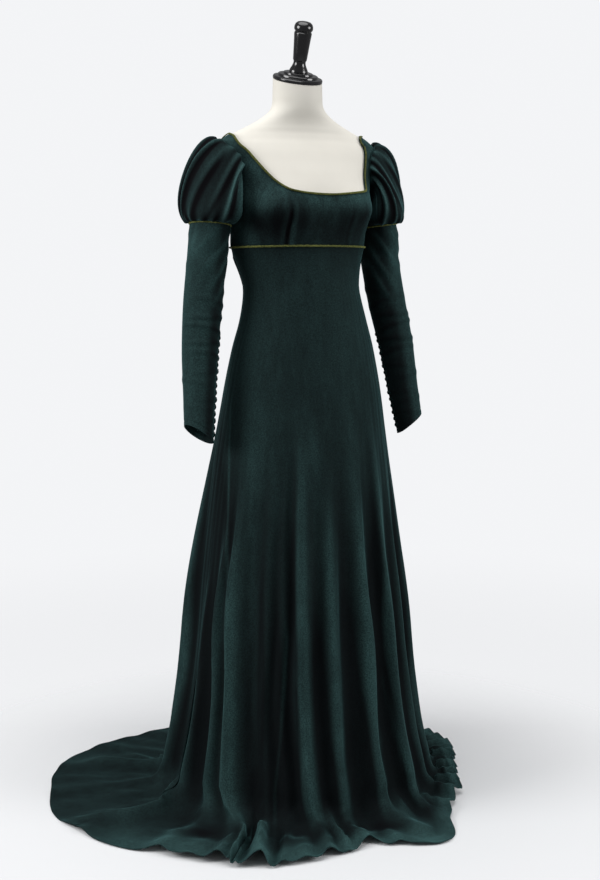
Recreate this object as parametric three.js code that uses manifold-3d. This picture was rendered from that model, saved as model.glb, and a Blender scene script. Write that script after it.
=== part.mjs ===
// A full-length velvet gown in an early-renaissance cut: square neck, raised waist seam, puffed
// upper sleeves over long fitted ones, and a skirt that breaks on the floor and sweeps into a
// short train. A limbless dress form on a stand wears it.
// Millimetres, +Z up. The gown faces -Y and the wearer's left is +X.
// The origin is the centre of the stand's base, on the floor.

import * as THREE from "three";
import { mergeVertices } from "three/addons/utils/BufferGeometryUtils.js";
import Module from "manifold-3d";

const wasm = await Module();
wasm.setup();

// ---- driving sizes -------------------------------------------------------------------------

const WALL = 2; // velvet, with its pile
const GAP = 0.3; // between two pieces that are sewn together
// Between the gown's inside and the dress form, and where it hangs from the shoulders.
const FORM_EASE = { body: 5.8, shoulders: 1.15, from: 1355, to: 1396 };

const NECK_TOP = 1512; // where the turned cap sits
const NECK_TILT = 17; // degrees that the neck's top leans forward
const TILT_FROM = 1450; // the height where the neck's sections begin to lean

const WAIST = { side: 1165, centre_rise: 4 }; // the raised waist seam
const SIDE_SEAM = 86; // degrees from the centre front to a skirt side seam
const SHOULDER_SEAM_Y = 8; // the plane that parts the bodice's front from its back

const BUST = { apart: 88, height: 1247, rise: 25, width: 48, above: 46, below: 38 };
const ARMHOLE = { y: 6, height: 1327, half_depth: 50, half_height: 50 };
const BREAK_HEIGHT = 70; // where the skirt begins to turn out onto the floor

const table = (columns, rows) =>
  rows.map((row) => Object.fromEntries(columns.map((name, i) => [name, row[i]])));

// Outside of the gown and of the neck above it, from the waist seam up.
const TORSO = table(
  ["at", "half_width", "front", "back"],
  [
    [1150, 143.0, 103, 93],
    [1170, 147.5, 105, 96],
    [1200, 148.0, 112, 97],
    [1245, 151.5, 121, 99],
    [1281, 156.0, 112, 101],
    [1320, 167.0, 95, 103],
    [1345, 175.0, 80, 103],
    [1365, 179.0, 68, 99],
    [1380, 175.0, 58, 93],
    [1390, 165.0, 51, 88],
    [1398, 153.0, 47, 83],
    [1405, 141.0, 44, 78],
    [1412, 127.0, 43, 74],
    [1420, 111.0, 42, 70],
    [1430, 92.0, 43, 66],
    [1440, 76.0, 46, 62],
    [1450, 64.0, 49, 59],
    [1462, 57.0, 51, 57],
    [1480, 55.5, 52, 56],
    [1512, 54.5, 52, 55],
  ],
);

// The dress form below the waist seam, hidden by the skirt.
const FORM_HIPS = table(
  ["at", "half_width", "front", "back"],
  [
    [740, 150.0, 96, 116],
    [770, 157.0, 101, 122],
    [820, 156.0, 106, 125],
    [900, 143.0, 104, 116],
    [980, 128.0, 97, 98],
    [1040, 114.0, 90, 82],
    [1080, 109.0, 89, 76],
    [1120, 121.0, 92, 79],
    [1150, 136.0, 97, 86],
  ],
);

// How many columns of faces go round the bodice, and the least angle between the skirt's.
const BODICE_COLUMNS = 60;
const COLUMN_SPACING = 1.9;

// The skirt's valleys; the folds stand out from them. shift is sideways, towards +X.
const SKIRT = table(
  ["at", "half_width", "front", "back", "shift"],
  [
    [70, 262.0, 258, 266, 0],
    [150, 246.0, 232, 246, 0],
    [300, 227.0, 205, 222, 1],
    [500, 212.0, 180, 196, 3],
    [700, 195.0, 160, 169, 8],
    [850, 176.0, 140, 142, 11],
    [955, 156.0, 125, 118, 12],
    [1020, 138.0, 117, 100, 12],
    [1080, 126.5, 111, 87, 8],
    [1110, 130.5, 108, 87, 5],
    [1140, 138.5, 105, 90, 2],
    [1170, 147.5, 105, 96, 0],
    [1185, 148.0, 108, 97, 0],
  ],
);

// How far the hem reaches on the floor, and how far along that way the falling cloth lands.
// Angles run from the centre front towards +X.
const HEM = table(
  ["at", "reach", "landed"],
  [
    [-180, 456, 0.24],
    [-162, 459, 0.22],
    [-147, 490, 0.2],
    [-130, 538, 0.2],
    [-118, 547, 0.2],
    [-105, 542, 0.22],
    [-94, 545, 0.26],
    [-84, 536, 0.3],
    [-72, 516, 0.36],
    [-60, 492, 0.42],
    [-46, 482, 0.44],
    [-34, 477, 0.42],
    [-20, 440, 0.42],
    [-8, 406, 0.42],
    [2, 406, 0.44],
    [13, 452, 0.44],
    [21, 440, 0.46],
    [29, 396, 0.5],
    [40, 372, 0.46],
    [52, 376, 0.42],
    [64, 370, 0.42],
    [78, 386, 0.4],
    [90, 412, 0.36],
    [104, 418, 0.34],
    [130, 434, 0.3],
    [158, 450, 0.26],
    [180, 456, 0.24],
  ],
);

// The skirt's folds. Each row has the angle of a crest and its half widths towards lower and
// higher angles; how proud it stands where the cloth hangs, where it turns on the floor and at
// the hem; the height where it starts; how high the hem's ruffles are; and how many degrees
// it has moved sideways by the hem.
const FOLDS = table(
  ["angle", "left", "right", "depth", "foot", "hem", "start", "ruffle", "lean"],
  [
    [-172, 6, 6, 24, 12, 7, 1120, 0, 0],
    [-155, 6, 6, 27, 10, 7, 1120, 0, 0],
    [-140, 6, 5, 26, 9, 5, 1100, 0, 0],
    [-125, 5, 5, 24, 11, 3, 1000, 0, 0],
    [-110, 5, 6, 34, 32, 4, 860, 0, 0],
    [-84, 5, 4, 10, 24, 8, 520, 0, 3],
    [-68, 4, 4.5, 28, 30, 12, 690, 0, 11],
    [-60, 2.6, 9, 27, 34, 18, 760, 6, 16],
    [-38.5, 4, 3.5, 15, 15, 10, 820, 8, 3],
    [-30, 3.5, 3.5, 13, 13, 8, 800, 6, 2],
    [-21, 3, 6, 30, 34, 12, 900, 5, 5],
    [-4.5, 5, 4.5, 25, 26, 10, 840, 3, 0],
    [15.5, 6, 4, 29, 32, 8, 820, 0, -4],
    [32, 3, 7, 28, 34, 8, 880, 0, -3],
    [48, 5, 5, 22, 24, 20, 800, 8, 0],
    [61, 5, 5, 29, 28, 24, 780, 12, 0],
    [73, 5, 5, 27, 26, 24, 820, 12, 0],
    [84, 5, 5, 28, 27, 26, 840, 12, 0],
    [97, 5, 5, 28, 27, 24, 940, 12, 0],
    [111, 6, 6, 27, 24, 18, 1060, 6, 0],
    [127, 6, 6, 29, 20, 14, 1100, 0, 0],
    [143, 6, 6, 26, 15, 10, 1120, 0, 0],
    [158, 6, 6, 28, 13, 9, 1120, 0, 0],
    [173, 6, 6, 25, 12, 8, 1120, 0, 0],
  ],
);
// Between these heights a fold grows into its foot.
const FOOT = { from: 420, to: 90, full_from: 350 };
// The skirt's back is gathered into the waist seam: two gathers to a fold.
const GATHERS = { from: 104, depth: 10, grows_in: 24, fades_in: 95 };

// The neckline's height round the body, from the centre back round by the front. It is cut
// alike on both sides, and lies lower on the wearer's right as the bodice settles.
const NECKLINE = table(
  ["at", "height"],
  [
    [-180, 1321],
    [-156, 1324],
    [-141, 1333],
    [-130, 1352],
    [-120, 1370],
    [-110, 1389],
    [-98, 1398],
    [-84, 1398],
    [-68, 1393],
    [-59, 1384],
    [-53, 1374],
    [-47, 1362],
    [-42.5, 1343],
    [-38.5, 1324],
    [-33, 1304],
    [-27, 1290],
    [-21.5, 1283],
    [-9, 1278],
    [9, 1276],
    [20.5, 1278],
    [32.5, 1281.5],
    [41, 1285],
    [44.5, 1290],
    [46, 1304],
    [47, 1326],
    [48, 1350],
    [49.5, 1374],
    [52, 1389],
    [58, 1397],
    [68, 1401],
    [84, 1402],
    [98, 1401],
    [110, 1390],
    [120, 1370],
    [130, 1352],
    [141, 1333],
    [156, 1324],
    [180, 1321],
  ],
);

// The sleeve's centre line, and how far it stands out from it across the body and forwards.
const ARM = table(
  ["at", "x", "y", "across", "deep"],
  [
    [760, 246.0, -58, 28.5, 28.5],
    [800, 243.5, -48, 30.0, 30.0],
    [870, 236.5, -33, 33.0, 33.0],
    [956, 228.5, -17, 37.0, 37.0],
    [1050, 214.5, 1, 40.5, 40.0],
    [1140, 201.5, 11, 40.0, 46.0],
    [1180, 197.0, 11, 39.0, 55.0],
    [1217, 192.0, 13, 38.0, 60.0],
    [1240, 190.0, 13, 38.0, 61.0],
  ],
);
const BAND_HEIGHT = 1217; // where the puff is sewn to the long sleeve
const SLEEVE_TOP = BAND_HEIGHT + 1.4;
const CUFF = { centre: 789, slope: 18 }; // lower at the buttons, higher outside
const CUFF_SLIT = { width: 3, length: 13 };
// Elbow creases: height, where round the sleeve each is deepest, and depth.
const CREASES = table(
  ["at", "round", "depth"],
  [
    [1082, 150, 1.4],
    [1052, 120, 2.0],
    [1024, 100, 2.6],
    [998, 90, 3.0],
    [972, 95, 2.8],
    [946, 110, 2.2],
    [918, 130, 1.6],
  ],
);
const CREASE_LENGTH = 7;

const PUFF = {
  seam_grow: 3, // how far its seam lies outside the armhole's edge
  seam_out: { shoulder: 0.9, underarm: 2.2 }, // how far its seam stands off the bodice
  band_out: 3.2,
  gathers: 12,
  gather_reach: 132, // degrees each side of the shoulder
  seam_gather: 7,
  band_gather: 5,
  fold: 4,
};
// How far the puff pushes out from the armhole, as a part of its length, how full it is above
// its band, and how high above the band that fullness sits.
const PUFF_SHAPE = table(
  ["at", "push", "fullness", "lift"],
  [
    [-180, 0.32, 2, 6],
    [-150, 0.34, 12, 10],
    [-120, 0.36, 40, 6],
    [-90, 0.38, 46, 0],
    [-45, 0.42, 42, -6],
    [0, 0.32, 44, -6],
    [45, 0.14, 46, -6],
    [75, 0.16, 54, -2],
    [100, 0.28, 68, 0],
    [118, 0.34, 66, 4],
    [134, 0.34, 30, 8],
    [150, 0.34, 8, 8],
    [180, 0.32, 2, 6],
  ],
);

const BUTTONS = { count: 15, top: 988, bottom: 789, radius: 4.3, height: 3.8, off: 1 };

const NECK_TRIM = { width: 7, thick: 2.2, above_edge: 0.8, off: 1.8 };
const WAIST_TRIM = { width: 5, thick: 2.2 };
const BAND_TRIM = { width: 4.2, thick: 2.2 };
const TRIM_OUT = 1.1; // how far a trim's underside stands off the velvet

const STAND = { base_radius: 150, base_height: 14, pole_radius: 14 };

// ---- reading tables --------------------------------------------------------------------------

const turn = THREE.MathUtils.degToRad;
const smooth = (t) => THREE.MathUtils.smoothstep(t, 0, 1);

// One column of a table at a place between its rows, on a smooth curve through them.
function read(rows, column, at) {
  const last = rows.length - 1;
  let i = 0;
  while (i < last - 1 && at > rows[i + 1].at) i++;
  const slope = (k) => {
    const a = rows[Math.max(k - 1, 0)];
    const b = rows[Math.min(k + 1, last)];
    return (b[column] - a[column]) / (b.at - a.at);
  };
  const span = rows[i + 1].at - rows[i].at;
  const t = THREE.MathUtils.clamp((at - rows[i].at) / span, 0, 1);
  const t2 = t * t;
  const t3 = t2 * t;
  return (
    rows[i][column] * (2 * t3 - 3 * t2 + 1) +
    slope(i) * span * (t3 - 2 * t2 + t) +
    rows[i + 1][column] * (3 * t2 - 2 * t3) +
    slope(i + 1) * span * (t3 - t2)
  );
}

const wrap = (degrees) => THREE.MathUtils.euclideanModulo(degrees + 180, 360) - 180;

// ---- surfaces --------------------------------------------------------------------------------

// A section's point: an ellipse with its own depth in front and behind.
function section(rows, degrees, height) {
  const c = Math.cos(turn(degrees));
  const depth = read(rows, c > 0 ? "front" : "back", height);
  const x = read(rows, "half_width", height) * Math.sin(turn(degrees));
  return new THREE.Vector3(x, -depth * c, height);
}

// The unit normal of surface(u, v), on the side of u x v.
function normalOf(surface, u, v, step = 0.4) {
  const du = surface(u + step, v).sub(surface(u - step, v));
  const dv = surface(u, v + step).sub(surface(u, v - step));
  return du.cross(dv).normalize();
}

function torsoSkin(degrees, height) {
  const p = section(TORSO, degrees, height);
  const side = height > BUST.height ? BUST.above : BUST.below;
  const up = Math.exp(-(((height - BUST.height) / side) ** 2));
  const across = [-BUST.apart, BUST.apart]
    .map((x) => Math.exp(-(((p.x - x) / BUST.width) ** 2)))
    .reduce((a, b) => a + b);
  const facing = smooth(Math.cos(turn(degrees)) * 2);
  const rise = BUST.rise * up * across * facing;
  const lean = smooth((height - TILT_FROM) / (NECK_TOP - TILT_FROM));
  p.x += rise * Math.sin(turn(degrees));
  p.z += lean * p.y * Math.tan(turn(NECK_TILT));
  p.y -= rise * Math.cos(turn(degrees));
  return p;
}

// A point on the torso, moved out along the normal by out.
const torso = (degrees, height, out = 0) =>
  torsoSkin(degrees, height).addScaledVector(normalOf(torsoSkin, degrees, height), out);

const waistHeight = (degrees) =>
  WAIST.side + WAIST.centre_rise * ((1 + Math.cos(turn(degrees))) / 2) ** 2;

const necklineHeight = (degrees) => read(NECKLINE, "height", wrap(degrees));

// How far the fold at this angle stands out, from 0 in a valley to 1 on a crest, with the
// values of the nearest crests blended between them.
function foldAt(degrees) {
  const angle = wrap(degrees);
  const before = FOLDS.filter((f) => f.angle <= angle).pop() ?? {
    ...FOLDS.at(-1),
    angle: FOLDS.at(-1).angle - 360,
  };
  const after = FOLDS.find((f) => f.angle > angle) ?? {
    ...FOLDS[0],
    angle: FOLDS[0].angle + 360,
  };
  const t = (angle - before.angle) / (after.angle - before.angle);
  const blend = (key) => THREE.MathUtils.lerp(before[key], after[key], smooth(t));
  const gather = 0.5 + 0.5 * Math.cos(4 * Math.PI * t);
  return { gather, ruffle: blend("ruffle"), lean: blend("lean") };
}

// How proud all the folds stand together, and how much of that is left at the hem.
function crests(degrees, height, down) {
  let stand = 0;
  let hem = 0;
  for (const fold of FOLDS) {
    const off = wrap(degrees - fold.angle);
    const ridge = Math.exp(-((off / (off < 0 ? fold.left : fold.right)) ** 2));
    const footed = smooth((FOOT.from - height) / (FOOT.from - FOOT.to));
    const grown = smooth((fold.start - height) / (fold.start - FOOT.full_from));
    const hanging = THREE.MathUtils.lerp(fold.depth, fold.foot, footed) * grown;
    const lying = THREE.MathUtils.lerp(fold.foot, fold.hem, smooth((down - 1) / 1.6));
    stand += ridge * (down > 1 ? lying : hanging);
    hem += ridge * fold.hem;
  }
  return { stand, hem };
}

// The skirt, all round. down runs 0 to 1 from the waist seam to where the cloth starts to turn,
// 1 to 2 through that turn, and 2 to 3 across the floor to the hem.
function skirtSkin(degrees, down) {
  const fold = foldAt(degrees);
  const angle = degrees + fold.lean * smooth((down - 0.5) / 1.7);
  const turned = smooth(down - 1);
  const top = waistHeight(degrees);
  const height = THREE.MathUtils.lerp(top, BREAK_HEIGHT, Math.min(down, 1));
  const p = section(SKIRT, angle, height);
  const start = Math.hypot(p.x, p.y);
  p.x += read(SKIRT, "shift", height);

  const below = top - height;
  const behind = smooth((Math.abs(wrap(degrees)) - GATHERS.from) / 12);
  const gathered = smooth(below / GATHERS.grows_in) * Math.exp(-below / GATHERS.fades_in);
  const crest = crests(degrees, height, down);
  let stand = crest.stand + GATHERS.depth * behind * gathered * fold.gather;

  const outward = new THREE.Vector3(Math.sin(turn(angle)), -Math.cos(turn(angle)), 0);
  if (down > 1) {
    const bend = Math.min(down - 1, 1);
    const across = Math.max(down - 2, 0);
    const reach = read(HEM, "reach", wrap(angle));
    const landed = start + read(HEM, "landed", wrap(angle)) * (reach - start);
    // The turn is a quadratic curve from the hanging cloth to the floor.
    const corner = start + 10;
    let radius = (1 - bend) ** 2 * start + 2 * bend * (1 - bend) * corner + bend ** 2 * landed;
    p.z = (1 - bend) ** 2 * BREAK_HEIGHT + 2 * bend * (1 - bend) * 12 + bend ** 2 * WALL;
    radius += across * (reach - landed);
    const ruffle = fold.ruffle * fold.gather;
    stand += ruffle * smooth((down - 1.2) / 1.2);
    // A crest or ruffle uses up cloth, so the hem is drawn in below it.
    radius -= (0.9 * crest.hem + 0.6 * ruffle) * smooth(across);
    p.addScaledVector(outward, radius - start);
  }
  const lift = Math.max(0.12, turned);
  outward.multiplyScalar(Math.sqrt(1 - lift * lift)).setZ(lift);
  return p.addScaledVector(outward, stand);
}

// u runs the other way round than down, so the normal is turned to face out.
const skirt = (degrees, down, out = 0) => {
  const normal = normalOf((a, b) => skirtSkin(a, b / 100), degrees, down * 100, 0.5).negate();
  const p = skirtSkin(degrees, down).addScaledVector(normal, out);
  p.z = Math.max(p.z, 0);
  return p;
};

// The arm's centre line at a height, with its direction down the arm and the two directions
// across it: round 0 is outward, away from the body, and round 90 is forward.
function armFrame(height) {
  const centre = (h) => new THREE.Vector3(read(ARM, "x", h), read(ARM, "y", h), h);
  const along = centre(height - 2).sub(centre(height + 2)).normalize();
  const forward = new THREE.Vector3(0, -1, 0).addScaledVector(along, along.y).normalize();
  const outward = along.clone().cross(forward).normalize();
  if (outward.x < 0) outward.negate();
  return { centre: centre(height), along, outward, forward };
}

// A point on the arm's outside at a height, moved out by out.
function armPoint(height, round, out = 0) {
  const f = armFrame(height);
  return f.centre
    .addScaledVector(f.outward, (read(ARM, "across", height) + out) * Math.cos(turn(round)))
    .addScaledVector(f.forward, (read(ARM, "deep", height) + out) * Math.sin(turn(round)));
}

// The long sleeve. down runs from 0 at its top, inside the puff, to 1 at the slanted cuff.
function sleeveSkin(round, down) {
  const top = SLEEVE_TOP;
  const end = CUFF.centre + CUFF.slope * Math.cos(turn(round));
  const height = THREE.MathUtils.lerp(top, end, down);
  let stand = 0;
  for (const crease of CREASES) {
    const near = Math.exp(-(((height - crease.at) / CREASE_LENGTH) ** 2));
    const facing = smooth(0.2 + Math.cos(turn(round - crease.round)));
    stand += crease.depth * near * facing;
  }
  return armPoint(height, round, stand);
}

const sleeve = (round, down, out = 0) => {
  const normal = normalOf((a, b) => sleeveSkin(a, b / 100), round, down * 100, 0.5);
  return sleeveSkin(round, down).addScaledVector(normal, out);
};

// The puff's seam on the bodice, round the armhole. round 0 is the shoulder, 90 the front.
function armholeSeam(round, out) {
  const { y, height, half_depth, half_height } = ARMHOLE;
  const at = height + (half_height + PUFF.seam_grow) * Math.cos(turn(round));
  const across = y - (half_depth + PUFF.seam_grow) * Math.sin(turn(round));
  const depth = read(TORSO, across < 0 ? "front" : "back", at);
  const degrees = THREE.MathUtils.radToDeg(Math.acos(-across / depth));
  return { point: torso(degrees, at, out), normal: normalOf(torsoSkin, degrees, at) };
}

// The puffed upper sleeve: each line runs out from the armhole and back in to the band.
function puffSkin(round, down) {
  const outside = smooth((1 + Math.cos(turn(round))) / 2);
  const { underarm, shoulder } = PUFF.seam_out;
  const seam = armholeSeam(round, THREE.MathUtils.lerp(underarm, shoulder, outside));
  const frame = armFrame(BAND_HEIGHT);
  const radial = new THREE.Vector3()
    .addScaledVector(frame.outward, Math.cos(turn(round)))
    .addScaledVector(frame.forward, Math.sin(turn(round)));
  const end = armPoint(BAND_HEIGHT, round, PUFF.band_out);
  const length = end.distanceTo(seam.point);
  const spread = new THREE.Vector3(0, -Math.sin(turn(round)), Math.cos(turn(round)));
  const away = seam.normal.clone().addScaledVector(spread, 0.35).normalize();
  const shape = (column) => read(PUFF_SHAPE, column, wrap(round));
  const first = seam.point.clone().addScaledVector(away, shape("push") * length);
  const second = end
    .clone()
    .addScaledVector(radial, shape("fullness"))
    .addScaledVector(frame.along, -shape("lift"));
  const line = new THREE.CubicBezierCurve3(seam.point, first, second, end);
  return line.getPoint(THREE.MathUtils.clamp(down, 0, 1));
}

// The gathers at both seams and the long soft folds between them.
function puffStand(round, down) {
  const angle = Math.abs(wrap(round));
  const reach = smooth((PUFF.gather_reach - angle) / 20);
  const wave = 0.5 + 0.5 * Math.cos((turn(wrap(round)) * PUFF.gathers * 180) / PUFF.gather_reach);
  const slow = 0.5 + 0.5 * Math.cos((turn(wrap(round)) * PUFF.gathers * 90) / PUFF.gather_reach);
  const seam = PUFF.seam_gather * smooth(down / 0.06) * Math.exp(-down / 0.2);
  const band = PUFF.band_gather * smooth((1 - down) / 0.08) * Math.exp(-(1 - down) / 0.14);
  const middle = PUFF.fold * Math.sin(Math.PI * down) ** 2;
  return reach * (wave * (seam + band) + slow * middle);
}

function puff(round, down, out = 0) {
  const scaled = (a, b) => puffSkin(a, b / 100);
  const kept = THREE.MathUtils.clamp(down * 100, 1.5, 98.5);
  const normal = normalOf(scaled, round, kept, 1);
  return puffSkin(round, down).addScaledVector(normal, puffStand(round, down) + out);
}

// ---- solids ----------------------------------------------------------------------------------

// A closed geometry from rows of points; each face is a list of point numbers.
function closedGeometry(points, quads) {
  const index = quads.flatMap(([a, b, c, d]) => [a, b, c, a, c, d]);
  let volume = 0;
  for (let i = 0; i < index.length; i += 3) {
    const [a, b, c] = [points[index[i]], points[index[i + 1]], points[index[i + 2]]];
    volume += a.dot(b.clone().cross(c));
  }
  if (volume < 0) index.reverse();
  const geometry = new THREE.BufferGeometry().setFromPoints(points);
  geometry.setIndex(index);
  return geometry;
}

// A wall of cloth between an outer and an inner grid. point(i, j, side) gives a point of the
// outer grid (side 0) or of the inner one (side 1); closed joins the last column to the first.
function wall(rows, columns, closed, point) {
  const points = [];
  for (const side of [0, 1])
    for (let i = 0; i < rows; i++)
      for (let j = 0; j < columns; j++) points.push(point(i, j, side));
  const at = (i, j, side) => side * rows * columns + i * columns + (j % columns);
  const quads = [];
  const steps = closed ? columns : columns - 1;
  for (let j = 0; j < steps; j++) {
    for (let i = 0; i < rows - 1; i++) {
      quads.push([at(i, j, 0), at(i, j + 1, 0), at(i + 1, j + 1, 0), at(i + 1, j, 0)]);
      quads.push([at(i, j, 1), at(i + 1, j, 1), at(i + 1, j + 1, 1), at(i, j + 1, 1)]);
    }
    const end = rows - 1;
    quads.push([at(0, j, 0), at(0, j, 1), at(0, j + 1, 1), at(0, j + 1, 0)]);
    quads.push([at(end, j, 0), at(end, j + 1, 0), at(end, j + 1, 1), at(end, j, 1)]);
  }
  if (!closed)
    for (let i = 0; i < rows - 1; i++) {
      const end = columns - 1;
      quads.push([at(i, 0, 0), at(i + 1, 0, 0), at(i + 1, 0, 1), at(i, 0, 1)]);
      quads.push([at(i, end, 0), at(i, end, 1), at(i + 1, end, 1), at(i + 1, end, 0)]);
    }
  return closedGeometry(points, quads);
}

const evenly = (from, to, count) =>
  Array.from({ length: count }, (_, i) => THREE.MathUtils.lerp(from, to, i / (count - 1)));

const ring = (count) => Array.from({ length: count }, (_, i) => (360 * i) / count);

// Angles round the bodice that share out the neckline's length and the waist's together.
function bodiceRing(count) {
  const fine = Array.from({ length: 1441 }, (_, i) => i / 4 - 180);
  const run = [0];
  for (let i = 1; i < fine.length; i++) {
    const [a, b] = [fine[i - 1], fine[i]];
    const neck = torsoSkin(a, necklineHeight(a)).distanceTo(torsoSkin(b, necklineHeight(b)));
    const waist = torsoSkin(a, waistHeight(a)).distanceTo(torsoSkin(b, waistHeight(b)));
    run.push(run[i - 1] + neck + waist);
  }
  return Array.from({ length: count }, (_, i) => {
    const at = (run.at(-1) * i) / count;
    const k = Math.max(run.findIndex((r) => r > at), 1);
    return fine[k - 1] + (0.25 * (at - run[k - 1])) / (run[k] - run[k - 1]);
  });
}

function toSolid(geometry) {
  const bare = geometry.clone();
  bare.deleteAttribute("normal");
  bare.deleteAttribute("uv");
  const merged = mergeVertices(bare, 1e-4);
  return new wasm.Manifold(
    new wasm.Mesh({
      numProp: 3,
      vertProperties: merged.attributes.position.array,
      triVerts: new Uint32Array(merged.index.array),
    }),
  );
}

function toGeometry(solid) {
  const mesh = solid.getMesh();
  const geometry = new THREE.BufferGeometry();
  geometry.setAttribute("position", new THREE.BufferAttribute(mesh.vertProperties, 3));
  geometry.setIndex(new THREE.BufferAttribute(mesh.triVerts, 1));
  return geometry;
}

const MATERIALS = {
  velvet: { color: 0x1d3934, roughness: 0.85, metalness: 0 },
  trim: { color: 0x6d7638, roughness: 0.7, metalness: 0 },
  linen: { color: 0xe4dfd2, roughness: 0.9, metalness: 0 },
  ebonised: { color: 0x121113, roughness: 0.25, metalness: 0 },
  painted: { color: 0x1b1b1d, roughness: 0.5, metalness: 0.4 },
};

function piece(name, material, geometry) {
  const shown = new THREE.MeshStandardMaterial(MATERIALS[material]);
  const made = new THREE.Mesh(geometry, shown);
  made.name = name;
  return made;
}

const SIDES = [
  { word: "left", sign: 1 },
  { word: "right", sign: -1 },
];

const mirrored = (point, sign) => new THREE.Vector3(point.x * sign, point.y, point.z);

// ---- the gown --------------------------------------------------------------------------------

// The bodice is one ring round the body, with the armholes cut through it, parted into a front
// and a back in the plane of its side and shoulder seams.
function bodice() {
  const rounds = bodiceRing(BODICE_COLUMNS);
  const rows = [0, 0.2, 0.42, 0.6, 0.74, 0.84, 0.9, 0.95, 1];
  const shell = wall(rows.length, rounds.length, true, (i, j, side) => {
    const low = waistHeight(rounds[j]) + GAP / 2;
    const height = THREE.MathUtils.lerp(low, necklineHeight(rounds[j]), rows[i]);
    return torso(rounds[j], height, -WALL * side);
  });
  const cutter = new THREE.CylinderGeometry(1, 1, 600, 36)
    .rotateZ(Math.PI / 2)
    .scale(1, ARMHOLE.half_depth, ARMHOLE.half_height);
  cutter.translate(0, ARMHOLE.y, ARMHOLE.height);
  const cut = toSolid(shell).subtract(toSolid(cutter));
  const half = (sign) => {
    const box = new THREE.BoxGeometry(600, 400, 600);
    box.translate(0, SHOULDER_SEAM_Y + sign * (200 + GAP / 2), WAIST.side + 100);
    return toGeometry(cut.intersect(toSolid(box)));
  };
  return [
    piece("bodice_front", "velvet", half(-1)),
    piece("bodice_back", "velvet", half(1)),
  ];
}

// Columns on each crest, down its two flanks, in each valley and between.
function skirtColumns(from, to) {
  const crestsTwice = [0, 360].flatMap((lap) => FOLDS.map((f) => ({ ...f, angle: f.angle + lap })));
  const columns = crestsTwice.map((f) => f.angle);
  const add = (angle) => {
    if (columns.every((a) => Math.abs(a - angle) > COLUMN_SPACING)) columns.push(angle);
  };
  for (const f of crestsTwice.filter((f) => Math.abs(wrap(f.angle)) < GATHERS.from)) {
    add(f.angle - f.left);
    add(f.angle + f.right);
  }
  crestsTwice.slice(1).forEach((f, i) => {
    const before = crestsTwice[i].angle;
    for (const part of [0.5, 0.25, 0.75]) add(before + (f.angle - before) * part);
  });
  const inside = columns.filter((a) => a > from + 1.5 && a < to - 1.5).sort((a, b) => a - b);
  return [from, ...inside, to];
}

function skirtPanel(name, from, to) {
  const columns = skirtColumns(from, to);
  const rows = [0, 0.025, 0.08, 0.18, 0.36, 0.58, 0.8, 1, 1.4, 1.8, 2.3, 3];
  return piece(
    name,
    "velvet",
    wall(rows.length, columns.length, false, (i, j, side) => {
      // The panels stop short of the side seam's line and of the waist seam by half the gap.
      const edge = j === 0 ? 1 : j === columns.length - 1 ? -1 : 0;
      const radius = skirtSkin(columns[j], rows[i]).setZ(0).length();
      const degrees = columns[j] + edge * THREE.MathUtils.radToDeg(GAP / 2 / radius);
      const p = skirt(degrees, rows[i], -WALL * side);
      if (i === 0) p.z -= GAP / 2;
      return p;
    }),
  );
}

function puffPiece({ word, sign }) {
  const steps = PUFF.gathers * 2;
  const top = evenly(-PUFF.gather_reach, PUFF.gather_reach, steps + 1);
  const under = evenly(PUFF.gather_reach, 360 - PUFF.gather_reach, 8).slice(1, -1);
  const rounds = [...top, ...under];
  const rows = [0, 0.08, 0.2, 0.36, 0.54, 0.7, 0.84, 0.94, 1];
  return piece(
    `puff_${word}`,
    "velvet",
    wall(rows.length, rounds.length, true, (i, j, side) =>
      mirrored(puff(rounds[j], rows[i], -WALL * side), sign),
    ),
  );
}

function sleevePiece({ word, sign }) {
  const rounds = ring(16);
  const span = SLEEVE_TOP - CUFF.centre;
  const creased = CREASES.slice(0, -1).flatMap((c, k) => [c.at, (c.at + CREASES[k + 1].at) / 2]);
  const heights = [SLEEVE_TOP, 1195, 1160, 1110, ...creased, 905, 850, CUFF.centre];
  const rows = heights.map((h) => (SLEEVE_TOP - h) / span);
  const tube = toSolid(
    wall(rows.length, rounds.length, true, (i, j, side) =>
      mirrored(sleeve(rounds[j], rows[i], -WALL * side), sign),
    ),
  );
  const foot = armPoint(CUFF.centre - CUFF.slope, 180);
  const slit = new THREE.BoxGeometry(20, CUFF_SLIT.width, 2 * CUFF_SLIT.length);
  slit.translate(foot.x * sign, foot.y, foot.z);
  return piece(`sleeve_${word}`, "velvet", toGeometry(tube.subtract(toSolid(slit))));
}

// A strip of four-cornered section round a closed line: corner(k, degrees) gives its points.
function strip(rounds, corner) {
  const points = rounds.flatMap((degrees) => [0, 1, 2, 3].map((k) => corner(k, degrees)));
  const quads = [];
  for (let j = 0; j < rounds.length; j++)
    for (let k = 0; k < 4; k++) {
      const next = (j + 1) % rounds.length;
      const k2 = (k + 1) % 4;
      quads.push([j * 4 + k, next * 4 + k, next * 4 + k2, j * 4 + k2]);
    }
  return closedGeometry(points, quads);
}

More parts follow.
